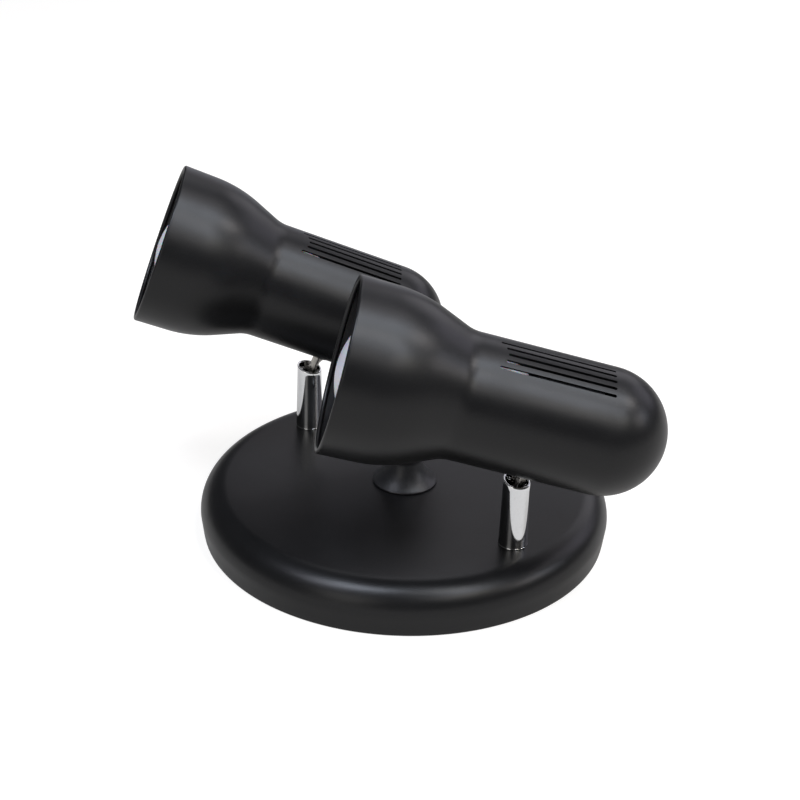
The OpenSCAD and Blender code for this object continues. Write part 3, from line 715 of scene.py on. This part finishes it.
def brass_finish(name, c):
    f = Finish(name, c.brass, metallic=1.0, roughness=0.28)
    f.rough(f.noise(350, 4), 0.2, 0.38)
    f.tint(f.ranged(f.noise(200, 4), 0.0, 1.0), shade(c.brass, 0.78))
    f.bump(f.noise(1600, 3), 0.08, 0.00004)
    return f.material


def block_finish(name, c):
    f = Finish(name, c.block, roughness=0.45)
    f.rough(f.noise(300, 3), 0.4, 0.55)
    f.tint(f.ranged(f.noise(120, 4), 0.0, 1.0), shade(c.block, 0.95))
    f.bump(f.noise(2000, 2), 0.08, 0.00004)
    return f.material


def frosting_finish(name, c):
    f = Finish(name, c.frosting, roughness=0.32)
    f.shader.inputs["Subsurface Weight"].default_value = 0.35
    f.shader.inputs["Subsurface Scale"].default_value = 0.01
    f.rough(f.noise(900, 3), 0.28, 0.38)
    f.tint(f.ranged(f.noise(40, 3), 0.0, 1.0), shade(c.frosting, 0.97))
    f.bump(f.noise(3500, 2), 0.05, 0.00003)
    return f.material


def silvering_finish(name, c):
    f = Finish(name, c.silvering, metallic=1.0, roughness=0.12)
    f.rough(f.noise(250, 4), 0.08, 0.2)
    f.tint(f.ranged(f.noise(90, 4), 0.0, 1.0), shade(c.silvering, 0.92))
    f.bump(f.noise(400, 2), 0.04, 0.0002)
    return f.material


# The finish for the shell's inside is painted shade, not a coat of its own.
FINISHES = {"enamel": ("Satin black enamel", enamel_finish),
            "painted shade inside": ("Painted inside shade", painted_inside_shade_finish),
            "moulding": ("Black moulding", moulding_finish),
            "chrome": ("Polished chrome", chrome_finish),
            "nickel": ("Dull nickel", nickel_finish),
            "zinc": ("Zinc plate", zinc_finish),
            "brass": ("Plain brass", brass_finish),
            "block": ("Pale moulding", block_finish),
            "frosting": ("Frosted glass", frosting_finish),
            "silvering": ("Silvered glass", silvering_finish)}


def finish(name):
    """The material of that finish, made once."""
    label, make = FINISHES[name]
    return bpy.data.materials.get(label) or make(label, sizes()[3])


# Pieces.

# How finely the turned pieces are divided round their axes.
COVER_SEGMENTS = 240
KNOB_SEGMENTS = 180
HEAD_SEGMENTS = 360
SLEEVE_SEGMENTS = 160
BULB_SEGMENTS = 160
CAP_SEGMENTS = 96
NIPPLE_SEGMENTS = 64
EYE_SEGMENTS = 64
ROD_SEGMENTS = 48

# Room round the stud in its hole and round the pin in its bores.
STUD_ROOM = 0.3 * MM
PIN_ROOM = 0.06 * MM
# The pin's head: its edge past the pin, the wider recess that it lies in, and how deep it sits in the wall.
PIN_HEAD_EDGE = 0.75 * MM
PIN_RECESS_EDGE = 0.8 * MM
PIN_HEAD_DEPTH = 0.3 * MM
# The pin's plain end stops inside the sleeve's wall, just before the bottom of its bore.
PIN_IN_WALL = 0.3 * MM
PIN_BORE_IN_WALL = 0.35 * MM
# The painted shade inside the shell starts this far behind the mouth and this deep under the outer face.
PAINTED_SHADE_FROM = 45 * MM
PAINTED_SHADE_DEPTH = 0.15 * MM
# The fine ring at a sleeve's foot, as steps out from the foot's radius and heights, in millimetres.
FOOT_RING = ((-0.1, 0.0), (0.04, 0.03), (0.1, 0.12), (0.1, 0.24), (0.05, 0.36), (0.0, 0.42))
FOOT_RING_H = 0.5 * MM
# The lug: radius of its eye, height where its tongue ends, gap under the head.
EYE_R = 2.7 * MM
TONGUE_END = 10.4 * MM
COLLAR_GAP = 0.1 * MM
# The strip under the lug's nut: half its width, and how far the stud stands past its seat.
STRIP_HALF = 7 * MM
STUD_PAST_STRIP = 3.95 * MM

class SPOTLIGHT_OT_cover(bpy.types.Operator):
    """Spins the base cover from its section"""
    bl_idname = "spotlight.cover"
    bl_label = "Base cover"

    def execute(self, context):
        tree = spun_tree(finish("enamel"))
        obj = grown("base_cover_shell", cover_profile(), tree, {"Segments": COVER_SEGMENTS})
        piece(outward(obj), Matrix(), "base", ["base_cover"])
        return {"FINISHED"}


class SPOTLIGHT_OT_knob(bpy.types.Operator):
    """Spins the fluted knob"""
    bl_idname = "spotlight.knob"
    bl_label = "Knob"

    def execute(self, context):
        b = sizes()[0]
        values = {"Segments": KNOB_SEGMENTS, "Flutes": b.flutes, "Flute circle": b.grip_d / 2 + 0.75 * MM,
                  "Flute radius": 1.1 * MM, "Flute foot": 11.8 * MM}
        obj = grown("knob_body", knob_profile(), fluted_tree(finish("moulding")), values)
        piece(outward(obj), Matrix.Translation((0, 0, b.cover_h)), "knob", ["knob"])
        return {"FINISHED"}


class SPOTLIGHT_OT_heads(bpy.types.Operator):
    """Spins both head shells and cuts their vent slots"""
    bl_idname = "spotlight.heads"
    bl_label = "Head shells"

    def execute(self, context):
        _, stem, h, _ = sizes()
        tree = slotted_tree(finish("enamel"))
        values = {"Segments": HEAD_SEGMENTS, "Slots": h.slots, "Slot step": h.slot_step, "Slot width": h.slot_w,
                  "Slot front": h.slot_front, "Slot back": h.slot_back, "Slot arch": h.slot_arch,
                  "Outer radius": h.tube_d / 2, "Stud place": h.lug_at, "Stud hole": stem.stud_d / 2 + STUD_ROOM}
        for side in SIDES:
            obj = outward(grown(side + "_head_bell", head_profile(), tree, values))
            # Painted shade on the shell's inside and on its slot walls.
            paint_shade_inside(obj)
            piece(obj, axis_place(side), side + "_head", [side + "_head_shell"])
        return {"FINISHED"}


def paint_shade_inside(obj):
    """Paints shade on the shell's inside and on the walls of its slots, as a darker, duller finish than the
    enamel.
    """
    outline = head_outline(0.0, sizes()[2].bead_r)
    obj.data.materials.append(finish("painted shade inside"))
    for face in obj.data.polygons:
        x, y, s = face.center
        reach = next((a[0] + (b[0] - a[0]) * (s - a[1]) / (b[1] - a[1])
                      for a, b in zip(outline, outline[1:]) if a[1] <= s < b[1]), 0.0)
        if s > PAINTED_SHADE_FROM and math.hypot(x, y) < reach - PAINTED_SHADE_DEPTH:
            face.material_index = 1


def sleeve_rings():
    """Ring makers of the sleeve's section: each gives radius and height for an angle."""
    s = sizes()[1]
    foot, rim, bore = s.foot_d / 2, s.rim_d / 2, s.bore_d / 2
    slope = (foot - rim) / s.rim_h
    bead = (rim - bore) / 2
    middle = s.rim_h - bead

    def top(radius, angle):
        return middle - math.tan(s.rim_slant) * radius * math.cos(angle)

    def outer(share):
        def ring(angle):
            end = top(rim, angle)
            z = FOOT_RING_H + (end - FOOT_RING_H) * share
            return foot - slope * z, z
        return ring

    def round_rim(turn_angle):
        def ring(angle):
            r = (rim + bore) / 2 + bead * math.cos(turn_angle)
            z = top(r, angle) + bead * math.sin(turn_angle)
            return r, z
        return ring

    def inner(share):
        def ring(angle):
            return bore, top(bore, angle) * (1 - share)
        return ring

    def foot_ring(out, z):
        return lambda angle: (foot + out * MM, z * MM)

    rings = [foot_ring(bore / MM - foot / MM, 0.0)]
    rings += [foot_ring(*at) for at in FOOT_RING]
    rings += [outer(k / 14) for k in range(15)]
    rings += [round_rim(math.pi * k / 12) for k in range(1, 12)]
    rings += [inner(k / 8) for k in range(8)]
    return rings


class SPOTLIGHT_OT_sleeves(bpy.types.Operator):
    """Turns both chrome sleeves with their slanted, rounded rims, and drills them for the pin"""
    bl_idname = "spotlight.sleeves"
    bl_label = "Sleeves"

    def execute(self, context):
        s = sizes()[1]
        for side in SIDES:
            bm = bmesh.new()
            rows = []
            for ring in sleeve_rings():
                row = []
                for k in range(SLEEVE_SEGMENTS):
                    angle = TAU * k / SLEEVE_SEGMENTS
                    r, z = ring(angle)
                    row.append(bm.verts.new((r * math.cos(angle), r * math.sin(angle), z)))
                rows.append(row)
            for a, b in zip(rows, rows[1:] + rows[:1]):
                for k in range(SLEEVE_SEGMENTS):
                    n = (k + 1) % SLEEVE_SEGMENTS
                    bm.faces.new((a[k], a[n], b[n], b[k]))
            obj = mesh_piece(side + "_sleeve_tube", bm, finish("chrome"))
            drill(obj, s.pin_d / 2 + PIN_ROOM, -s.bore_d / 2 - PIN_BORE_IN_WALL, 10 * MM, s.pivot_h)
            drill(obj, s.pin_d / 2 + PIN_RECESS_EDGE, pin_seat(s), 12 * MM, s.pivot_h)
            piece(outward(obj), stem_place(side), side + "_stem", [side + "_sleeve"])
        return {"FINISHED"}


def pin_seat(s):
    """Where the pin's head begins, counted from the sleeve's axis."""
    slope = (s.foot_d - s.rim_d) / 2 / s.rim_h
    return s.foot_d / 2 - slope * s.pivot_h - PIN_HEAD_DEPTH


def drill(obj, radius, start, end, height):
    """Cuts a round hole along Y."""
    bm = bmesh.new()
    bmesh.ops.create_cone(bm, cap_ends=True, segments=48, radius1=radius, radius2=radius, depth=end - start)
    place = Matrix.Translation((0, (start + end) / 2, height)) @ Matrix.Rotation(math.pi / 2, 4, "X")
    bmesh.ops.transform(bm, matrix=place, verts=bm.verts)
    mesh = bpy.data.meshes.new("drill")
    bm.to_mesh(mesh)
    bm.free()
    tool = bpy.data.objects.new("drill", mesh)
    bpy.context.scene.collection.objects.link(tool)
    cut = obj.modifiers.new("Cut", "BOOLEAN")
    cut.operation = "DIFFERENCE"
    cut.solver = "EXACT"
    cut.object = tool
    bake(obj)
    bpy.data.objects.remove(tool)
    bpy.data.meshes.remove(mesh)


def bake(obj):
    """Applies all modifiers."""
    depsgraph = bpy.context.evaluated_depsgraph_get()
    mesh = bpy.data.meshes.new_from_object(obj.evaluated_get(depsgraph), depsgraph=depsgraph)
    old = obj.data
    obj.modifiers.clear()
    obj.data = mesh
    bpy.data.meshes.remove(old)
    mesh.name = obj.name


def spun_mesh(bm, profile, segments, place=None):
    """Adds a turned form to a bmesh. A radius of zero closes on the axis."""
    place = place or Matrix()
    rows = []
    for r, z in profile:
        if r < 1e-7:
            rows.append([bm.verts.new(place @ Vector((0, 0, z)))])
        else:
            angles = [TAU * k / segments for k in range(segments)]
            rows.append([bm.verts.new(place @ Vector((r * math.cos(a), r * math.sin(a), z))) for a in angles])
    for a, b in zip(rows, rows[1:]):
        for k in range(segments):
            n = (k + 1) % segments
            if len(a) == 1:
                bm.faces.new((a[0], b[n], b[k]))
            elif len(b) == 1:
                bm.faces.new((a[k], a[n], b[0]))
            else:
                bm.faces.new((a[k], a[n], b[n], b[k]))


class SPOTLIGHT_OT_pins(bpy.types.Operator):
    """Turns the pivot pins with their low domed heads"""
    bl_idname = "spotlight.pins"
    bl_label = "Pivot pins"

    def execute(self, context):
        s = sizes()[1]
        seat = pin_seat(s)
        r, head, end = s.pin_d / 2, s.pin_d / 2 + PIN_HEAD_EDGE, -s.bore_d / 2 - PIN_IN_WALL
        chamfer, edge, dome = 0.25 * MM, 0.5 * MM, 6.25 * MM
        profile = joined([(0.0, end)], line((0.0, end), (r - chamfer, end), 3), [(r, end + chamfer)],
                         line((r, end + chamfer), (r, seat), 4), line((r, seat), (head, seat), 3),
                         arc((head - edge, seat + PIN_HEAD_DEPTH), edge, 0, math.pi / 2, 6),
                         arc((0, seat - 5.2 * MM), dome, math.acos((head - edge) / dome), math.pi / 2, 8))
        profile[-1] = (0.0, profile[-1][1])
        for side in SIDES:
            bm = bmesh.new()
            across = Matrix.Translation((0, 0, s.pivot_h)) @ Matrix.Rotation(-math.pi / 2, 4, "X")
            spun_mesh(bm, profile, ROD_SEGMENTS, across)
            obj = mesh_piece(side + "_pin", bm, finish("chrome"))
            piece(outward(obj), stem_place(side), side + "_stem", [side + "_pivot_pin"])
        return {"FINISHED"}


class SPOTLIGHT_OT_lugs(bpy.types.Operator):
    """Builds the lugs: eye and tongue, blade, collar and stud"""
    bl_idname = "spotlight.lugs"
    bl_label = "Lugs"

    def execute(self, context):
        _, s, h, _ = sizes()
        hole = s.pin_d / 2 + PIN_ROOM
        collar_top = s.reach - h.tube_d / 2 - COLLAR_GAP
        for side in SIDES:
            bm = bmesh.new()
            flat = Matrix.Rotation(math.pi / 2, 4, "X")
            w, chamfer = s.tongue_w / 2, 0.3 * MM
            eye_ring = joined([(hole, -w), (EYE_R - chamfer, -w), (EYE_R, -w + chamfer), (EYE_R, w - chamfer),
                               (EYE_R - chamfer, w), (hole, w), (hole, -w)])
            spun_mesh(bm, eye_ring, EYE_SEGMENTS, flat)
            thin = (s.tongue_t / 2, s.tongue_w / 2)
            wide = (s.lug_t / 2, s.lug_w / 2)
            blocks(bm, [thin + (2.2 * MM,), thin + (TONGUE_END - 0.3 * MM,),
                        wide + (TONGUE_END,), wide + (collar_top - s.collar_t + 0.2 * MM,)])
            r = s.collar_d / 2
            low = collar_top - s.collar_t
            bevel = 0.35 * MM
            collar = joined([(0.0, low)], line((0.0, low), (r - bevel, low), 4),
                            arc((r - bevel, low + bevel), bevel, -math.pi / 2, 0, 5),
                            arc((r - bevel, collar_top - bevel), bevel, 0, math.pi / 2, 5),
                            line((r - bevel, collar_top), (0.0, collar_top), 4))
            spun_mesh(bm, collar, EYE_SEGMENTS)
            bmesh.ops.remove_doubles(bm, verts=bm.verts, dist=1e-7)
            obj = mesh_piece(side + "_lug_arm", bm, finish("nickel"))
            end = s.reach - math.sqrt((h.tube_d / 2 - h.wall) ** 2 - STRIP_HALF ** 2) + STUD_PAST_STRIP
            root, stud_r, tip = collar_top - 0.5 * MM, s.stud_d / 2, 0.5 * MM
            stud = joined([(0.0, root)], line((0.0, root), (stud_r, root), 3),
                          line((stud_r, root), (stud_r, end - tip), 60),
                          [(stud_r - tip, end)], line((stud_r - tip, end), (0.0, end), 3))
            tree = threaded_tree(finish("zinc"))
            thread = grown(side + "_lug_stud", stud, tree,
                           {"Segments": ROD_SEGMENTS, "Pitch": 1.0 * MM, "Depth": 0.45 * MM,
                            "Thread from": collar_top + 0.2 * MM, "Thread to": end - 0.45 * MM,
                            "Least radius": stud_r - 0.2 * MM})
            place = lug_place(side)
            piece(outward(obj), place, side + "_lug", [side + "_lug"])
            piece(outward(thread), place, side + "_lug", [side + "_lug"])
        return {"FINISHED"}


def blocks(bm, levels):
    """A closed box-like form through rectangles with softened corners, bottom to top."""
    rows = []
    for half_x, half_y, z in levels:
        c = min(half_x, half_y) * 0.22
        corners = []
        for sx, sy, first in ((1, 1, 0), (-1, 1, 1), (-1, -1, 2), (1, -1, 3)):
            for k in range(4):
                a = first * math.pi / 2 + k * math.pi / 6
                corners.append((sx * (half_x - c) + c * math.cos(a), sy * (half_y - c) + c * math.sin(a)))
        rows.append([bm.verts.new((x, y, z)) for x, y in corners])
    bm.faces.new(list(reversed(rows[0])))
    bm.faces.new(rows[-1])
    for a, b in zip(rows, rows[1:]):
        for k in range(len(a)):
            n = (k + 1) % len(a)
            bm.faces.new((a[k], a[n], b[n], b[k]))


class SPOTLIGHT_OT_bulbs(bpy.types.Operator):
    """Spins the reflector bulbs and rolls the threads of their caps"""
    bl_idname = "spotlight.bulbs"
    bl_label = "Reflector bulbs"

    def execute(self, context):
        h = sizes()[2]
        tree = spun_tree(finish("frosting"))
        cap_tree = threaded_tree(finish("zinc"))
        start = BULB_CAP_S
        wide, inner, top = 13.1 * MM, 11.6 * MM, start + 21.5 * MM
        cap = joined([(inner, start + 0.5 * MM), (12.8 * MM, start)],
                     line((12.8 * MM, start), (wide, start + 3.5 * MM), 4),
                     line((wide, start + 3.5 * MM), (wide, start + 21 * MM), 84),
                     line((12.4 * MM, top), (inner, top), 2), line((inner, top), (inner, start + 0.5 * MM), 6))
        for side in SIDES:
            obj = grown(side + "_bulb_envelope", bulb_outline(), tree, {"Segments": BULB_SEGMENTS})
            outward(obj)
            obj.data.materials.append(finish("silvering"))
            for face in obj.data.polygons:
                if face.center.z > SILVER_FROM:
                    face.material_index = 1
            place = axis_place(side, h.bulb_drop) @ Matrix.Translation((0, 0, h.bulb_recess))
            piece(obj, place, side + "_head", [side + "_bulb_glass"])
            thread = grown(side + "_bulb_thread", cap, cap_tree,
                           {"Segments": CAP_SEGMENTS, "Pitch": 3.6 * MM, "Depth": 0.9 * MM,
                            "Thread from": start + 3.6 * MM, "Thread to": start + 20.8 * MM,
                            "Least radius": 12.9 * MM})
            piece(outward(thread), place, side + "_head", [side + "_bulb_cap"])
        return {"FINISHED"}


class SPOTLIGHT_OT_threads(bpy.types.Operator):
    """Cuts the threads of the nipples and the centre rod"""
    bl_idname = "spotlight.threads"
    bl_label = "Nipples and centre rod"

    def execute(self, context):
        b = sizes()[0]
        tree = threaded_tree(finish("zinc"))
        r, bore, chamfer = b.nipple_d / 2, 3.6 * MM, 0.6 * MM
        low, high = -10.4 * MM, 12 * MM
        for side in SIDES:
            profile = joined([(bore, low), (r - chamfer, low), (r, low + chamfer)],
                             line((r, low + chamfer), (r, high - chamfer), 110),
                             [(r - chamfer, high), (bore, high)], line((bore, high), (bore, low), 10))
            obj = grown(side + "_nipple_tube", profile, tree,
                        {"Segments": NIPPLE_SEGMENTS, "Pitch": 1.0 * MM, "Depth": 0.5 * MM,
                         "Thread from": low + chamfer, "Thread to": high - chamfer, "Least radius": r - 0.1 * MM})
            piece(outward(obj), stem_place(side), side + "_stem", [side + "_nipple"])
        rod, low, top = b.rod_d / 2, 0.3 * MM, b.cover_h + 12.7 * MM
        first, last = 0.7 * MM, top - 0.8 * MM
        profile = joined([(0.0, low), (rod - 0.4 * MM, low), (rod, first)],
                         line((rod, first), (rod, last), 140), [(rod - 0.8 * MM, top), (0.0, top)])
        obj = grown("centre_rod_thread", profile, tree,
                    {"Segments": ROD_SEGMENTS, "Pitch": 1.0 * MM, "Depth": 0.55 * MM, "Thread from": first,
                     "Thread to": last, "Least radius": rod - 0.1 * MM})
        piece(outward(obj), Matrix(), "base", ["centre_rod"])
        return {"FINISHED"}


# The finish for each material slot of the record.
SLOT_FINISH = {"black_paint": "enamel", "chrome": "chrome", "nickel": "nickel", "zinc_steel": "zinc",
               "brass": "brass", "black_plastic": "moulding", "white_plastic": "block",
               "bulb_glass": "frosting", "bulb_cap": "zinc", "black_glass": "moulding"}


class SPOTLIGHT_OT_fittings(bpy.types.Operator):
    """Gives every carried-over CAD node the finish of its slot"""
    bl_idname = "spotlight.fittings"
    bl_label = "Fittings"

    def execute(self, context):
        slots = {p["node"]: p["material_slot"] for p in frame["record"]["subparts"]}
        for node, obj in frame["nodes"].items():
            material = finish(SLOT_FINISH[slots[node]])
            obj.data.materials.clear()
            obj.data.materials.append(material)
        return {"FINISHED"}


# Stage: floor, light and camera.

# The camera as fitted to the photograph: focal length in pixels of an 800-pixel image, tilt, roll and place.
CAMERA_FOCAL_PX = 1602.02
CAMERA_ELEVATION = math.radians(27.0085)
CAMERA_ROLL = math.radians(-1.5289)
CAMERA_SHIFT = Vector((3.216, -57.049, 758.913)) * MM
# How far the camera stands round the object from the part's own Y axis.
ROW_TURN = math.radians(47.8545)
FLOOR_RADIUS = 6.0
FLOOR_BELOW = 0.2 * MM
# The floor's glow for the camera and for mirror-like surfaces, and the even light of the room.
FLOOR_SEEN = 0.78
FLOOR_IN_MIRRORS = 0.25
ROOM_LEVEL = 0.05
LIGHT_DISTANCE = 1.6
LIGHT_AIM = Vector((0, 0, 0.05))
# Each soft light: azimuth (0 behind the object in the photograph, 90 to its right), elevation, diameter, radiance.
SOFT_LIGHTS = ((0, 8, 0.75, (0.44, 0.45, 0.51)), (210, 8, 0.75, (0.62, 0.60, 0.58)),
               (0, 28, 0.75, (0.23, 0.21, 0.22)), (30, 28, 0.75, (1.14, 1.11, 1.20)),
               (60, 28, 0.75, (1.10, 1.06, 1.24)), (96, 28, 0.40, (2.92, 3.06, 3.51)),
               (110, 28, 0.40, (3.95, 3.69, 3.58)), (210, 28, 0.75, (1.39, 1.35, 1.30)),
               (138, 40, 0.40, (3.24, 3.05, 2.58)), (152, 40, 0.40, (3.09, 2.92, 2.91)),
               (0, 48, 0.75, (0.84, 0.84, 0.90)), (96, 52, 0.40, (8.58, 8.12, 8.00)),
               (138, 52, 0.40, (6.35, 6.81, 7.72)), (238, 56, 0.45, (6.60, 6.75, 7.73)),
               (96, 64, 0.40, (3.33, 4.01, 4.75)), (138, 64, 0.40, (8.37, 8.41, 8.60)),
               (60, 68, 0.75, (1.42, 1.33, 1.35)), (221, 70, 0.45, (15.33, 16.67, 19.15)),
               (96, 76, 0.40, (7.01, 7.38, 8.07)))


def floor_material(c):
    material = bpy.data.materials.new("Pale floor")
    material.use_nodes = True
    nodes, links = material.node_tree.nodes, material.node_tree.links
    shader = nodes["Principled BSDF"]
    shader.inputs["Roughness"].default_value = 0.9
    shader.inputs["Specular IOR Level"].default_value = 0.1
    coordinates = nodes.new("ShaderNodeTexCoord")
    noise = nodes.new("ShaderNodeTexNoise")
    noise.inputs["Scale"].default_value = 90
    links.new(coordinates.outputs["Object"], noise.inputs["Vector"])
    mix = nodes.new("ShaderNodeMix")
    mix.data_type = "RGBA"
    mix.inputs["A"].default_value = tuple(c.floor) + (1.0,)
    mix.inputs["B"].default_value = tuple(shade(c.floor, 0.985)) + (1.0,)
    links.new(noise.outputs["Fac"], mix.inputs["Factor"])
    links.new(mix.outputs["Result"], shader.inputs["Base Color"])
    path = nodes.new("ShaderNodeLightPath")
    mirror = nodes.new("ShaderNodeMath")
    mirror.operation = "MAXIMUM"
    links.new(path.outputs["Is Glossy Ray"], mirror.inputs[0])
    links.new(path.outputs["Is Transmission Ray"], mirror.inputs[1])
    glow = nodes.new("ShaderNodeMath")
    glow.operation = "MULTIPLY"
    links.new(mirror.outputs[0], glow.inputs[0])
    glow.inputs[1].default_value = FLOOR_IN_MIRRORS
    seen = nodes.new("ShaderNodeMath")
    seen.operation = "MULTIPLY_ADD"
    links.new(path.outputs["Is Camera Ray"], seen.inputs[0])
    seen.inputs[1].default_value = FLOOR_SEEN
    links.new(glow.outputs[0], seen.inputs[2])
    shader.inputs["Emission Color"].default_value = (1, 1, 1, 1)
    links.new(seen.outputs[0], shader.inputs["Emission Strength"])
    return material


def studio_world():
    """White where the camera looks past the floor, a dim even room for everything else."""
    world = bpy.data.worlds.new("Studio")
    bpy.context.scene.world = world
    world.use_nodes = True
    nodes, links = world.node_tree.nodes, world.node_tree.links
    nodes.clear()
    out = nodes.new("ShaderNodeOutputWorld")
    room = nodes.new("ShaderNodeBackground")
    backdrop = nodes.new("ShaderNodeBackground")
    backdrop.inputs["Color"].default_value = (1, 1, 1, 1)
    backdrop.inputs["Strength"].default_value = 1.0
    room.inputs["Color"].default_value = (1, 1, 1, 1)
    room.inputs["Strength"].default_value = ROOM_LEVEL
    path = nodes.new("ShaderNodeLightPath")
    mix = nodes.new("ShaderNodeMixShader")
    links.new(path.outputs["Is Camera Ray"], mix.inputs["Fac"])
    links.new(room.outputs[0], mix.inputs[1])
    links.new(backdrop.outputs[0], mix.inputs[2])
    links.new(mix.outputs[0], out.inputs["Surface"])


def soft_light(name, azimuth, elevation, size, radiance):
    """A round soft light aimed at the object from that side of the photograph."""
    light = bpy.data.lights.new(name, "AREA")
    light.shape = "DISK"
    light.size = size
    level = max(radiance)
    light.color = tuple(c / level for c in radiance)
    light.energy = level * math.pi * math.pi * (size / 2) ** 2
    obj = bpy.data.objects.new(name, light)
    bpy.context.scene.collection.objects.link(obj)
    a, e = math.radians(azimuth), math.radians(elevation)
    towards = Vector((math.sin(a) * math.cos(e), math.cos(a) * math.cos(e), math.sin(e)))
    obj.location = Matrix.Rotation(ROW_TURN, 3, "Z") @ (towards * LIGHT_DISTANCE)
    obj.rotation_euler = (LIGHT_AIM - obj.location).to_track_quat("-Z", "Y").to_euler()


class SPOTLIGHT_OT_stage(bpy.types.Operator):
    """Lays the floor and sets the lights and the camera"""
    bl_idname = "spotlight.stage"
    bl_label = "Stage"

    def execute(self, context):
        scene = context.scene
        bm = bmesh.new()
        bmesh.ops.create_circle(bm, cap_ends=True, segments=96, radius=FLOOR_RADIUS)
        mesh = bpy.data.meshes.new("floor")
        bm.to_mesh(mesh)
        bm.free()
        mesh.transform(Matrix.Translation((0, 0, -FLOOR_BELOW)))
        mesh.materials.append(floor_material(sizes()[3]))
        floor = bpy.data.objects.new("floor", mesh)
        scene.collection.objects.link(floor)
        studio_world()
        for azimuth, elevation, size, radiance in SOFT_LIGHTS:
            soft_light("soft light %d %d" % (azimuth, elevation), azimuth, elevation, size, radiance)
        place_camera(scene)
        scene.view_settings.view_transform = "Standard"
        return {"FINISHED"}


def place_camera(scene):
    """The photograph's view: the camera looks along the local -Z axis."""
    e, r = CAMERA_ELEVATION, CAMERA_ROLL
    right, up = Vector((1, 0, 0)), Vector((0, math.sin(e), math.cos(e)))
    ahead = Vector((0, math.cos(e), -math.sin(e)))
    place = -(right * CAMERA_SHIFT.x + up * CAMERA_SHIFT.y + ahead * CAMERA_SHIFT.z)
    image_right = right * math.cos(r) - up * math.sin(r)
    image_up = right * math.sin(r) + up * math.cos(r)
    turned = Matrix.Rotation(ROW_TURN, 3, "Z")
    axes = Matrix((image_right, image_up, -ahead)).transposed()
    data = bpy.data.cameras.new("camera")
    data.sensor_fit = "HORIZONTAL"
    data.sensor_width = 36.0
    data.lens = CAMERA_FOCAL_PX / IMAGE_SIDE * data.sensor_width
    data.clip_start, data.clip_end = 0.01, 50.0
    camera = bpy.data.objects.new("camera", data)
    scene.collection.objects.link(camera)
    camera.matrix_world = Matrix.Translation(turned @ place) @ (turned @ axes).to_4x4()
    scene.camera = camera


STEPS = (("fittings", SPOTLIGHT_OT_fittings), ("cover", SPOTLIGHT_OT_cover), ("knob", SPOTLIGHT_OT_knob),
         ("threads", SPOTLIGHT_OT_threads), ("sleeves", SPOTLIGHT_OT_sleeves), ("pins", SPOTLIGHT_OT_pins),
         ("lugs", SPOTLIGHT_OT_lugs), ("heads", SPOTLIGHT_OT_heads), ("bulbs", SPOTLIGHT_OT_bulbs),
         ("stage", SPOTLIGHT_OT_stage))


class SPOTLIGHT_PT_panel(bpy.types.Panel):
    """Lists the steps that build the spotlight"""
    bl_idname = "SPOTLIGHT_PT_panel"
    bl_label = "Twin Spotlight"
    bl_space_type = "VIEW_3D"
    bl_region_type = "UI"
    bl_category = "Spotlight"

    def draw(self, context):
        column = self.layout.column(align=True)
        for _, step in STEPS:
            column.operator(step.bl_idname)
        for group in ("spotlight_base", "spotlight_stem", "spotlight_head", "spotlight_colours"):
            settings = getattr(context.scene, group)
            box = self.layout.box()
            for key in settings.__annotations__:
                box.prop(settings, key)


GROUPS = (("spotlight_base", SpotlightBaseSizes), ("spotlight_stem", SpotlightStemSizes),
          ("spotlight_head", SpotlightHeadSizes), ("spotlight_colours", SpotlightColours))


def register():
    for name, group in GROUPS:
        bpy.utils.register_class(group)
        setattr(bpy.types.Scene, name, PointerProperty(type=group))
    for _, step in STEPS:
        bpy.utils.register_class(step)
    bpy.utils.register_class(SPOTLIGHT_PT_panel)


def unregister():
    bpy.utils.unregister_class(SPOTLIGHT_PT_panel)
    for _, step in reversed(STEPS):
        bpy.utils.unregister_class(step)
    for name, group in reversed(GROUPS):
        delattr(bpy.types.Scene, name)
        bpy.utils.unregister_class(group)


def main():
    register()
    for name, _ in STEPS:
        getattr(bpy.ops.spotlight, name)()


if __name__ == "__main__":
    main()
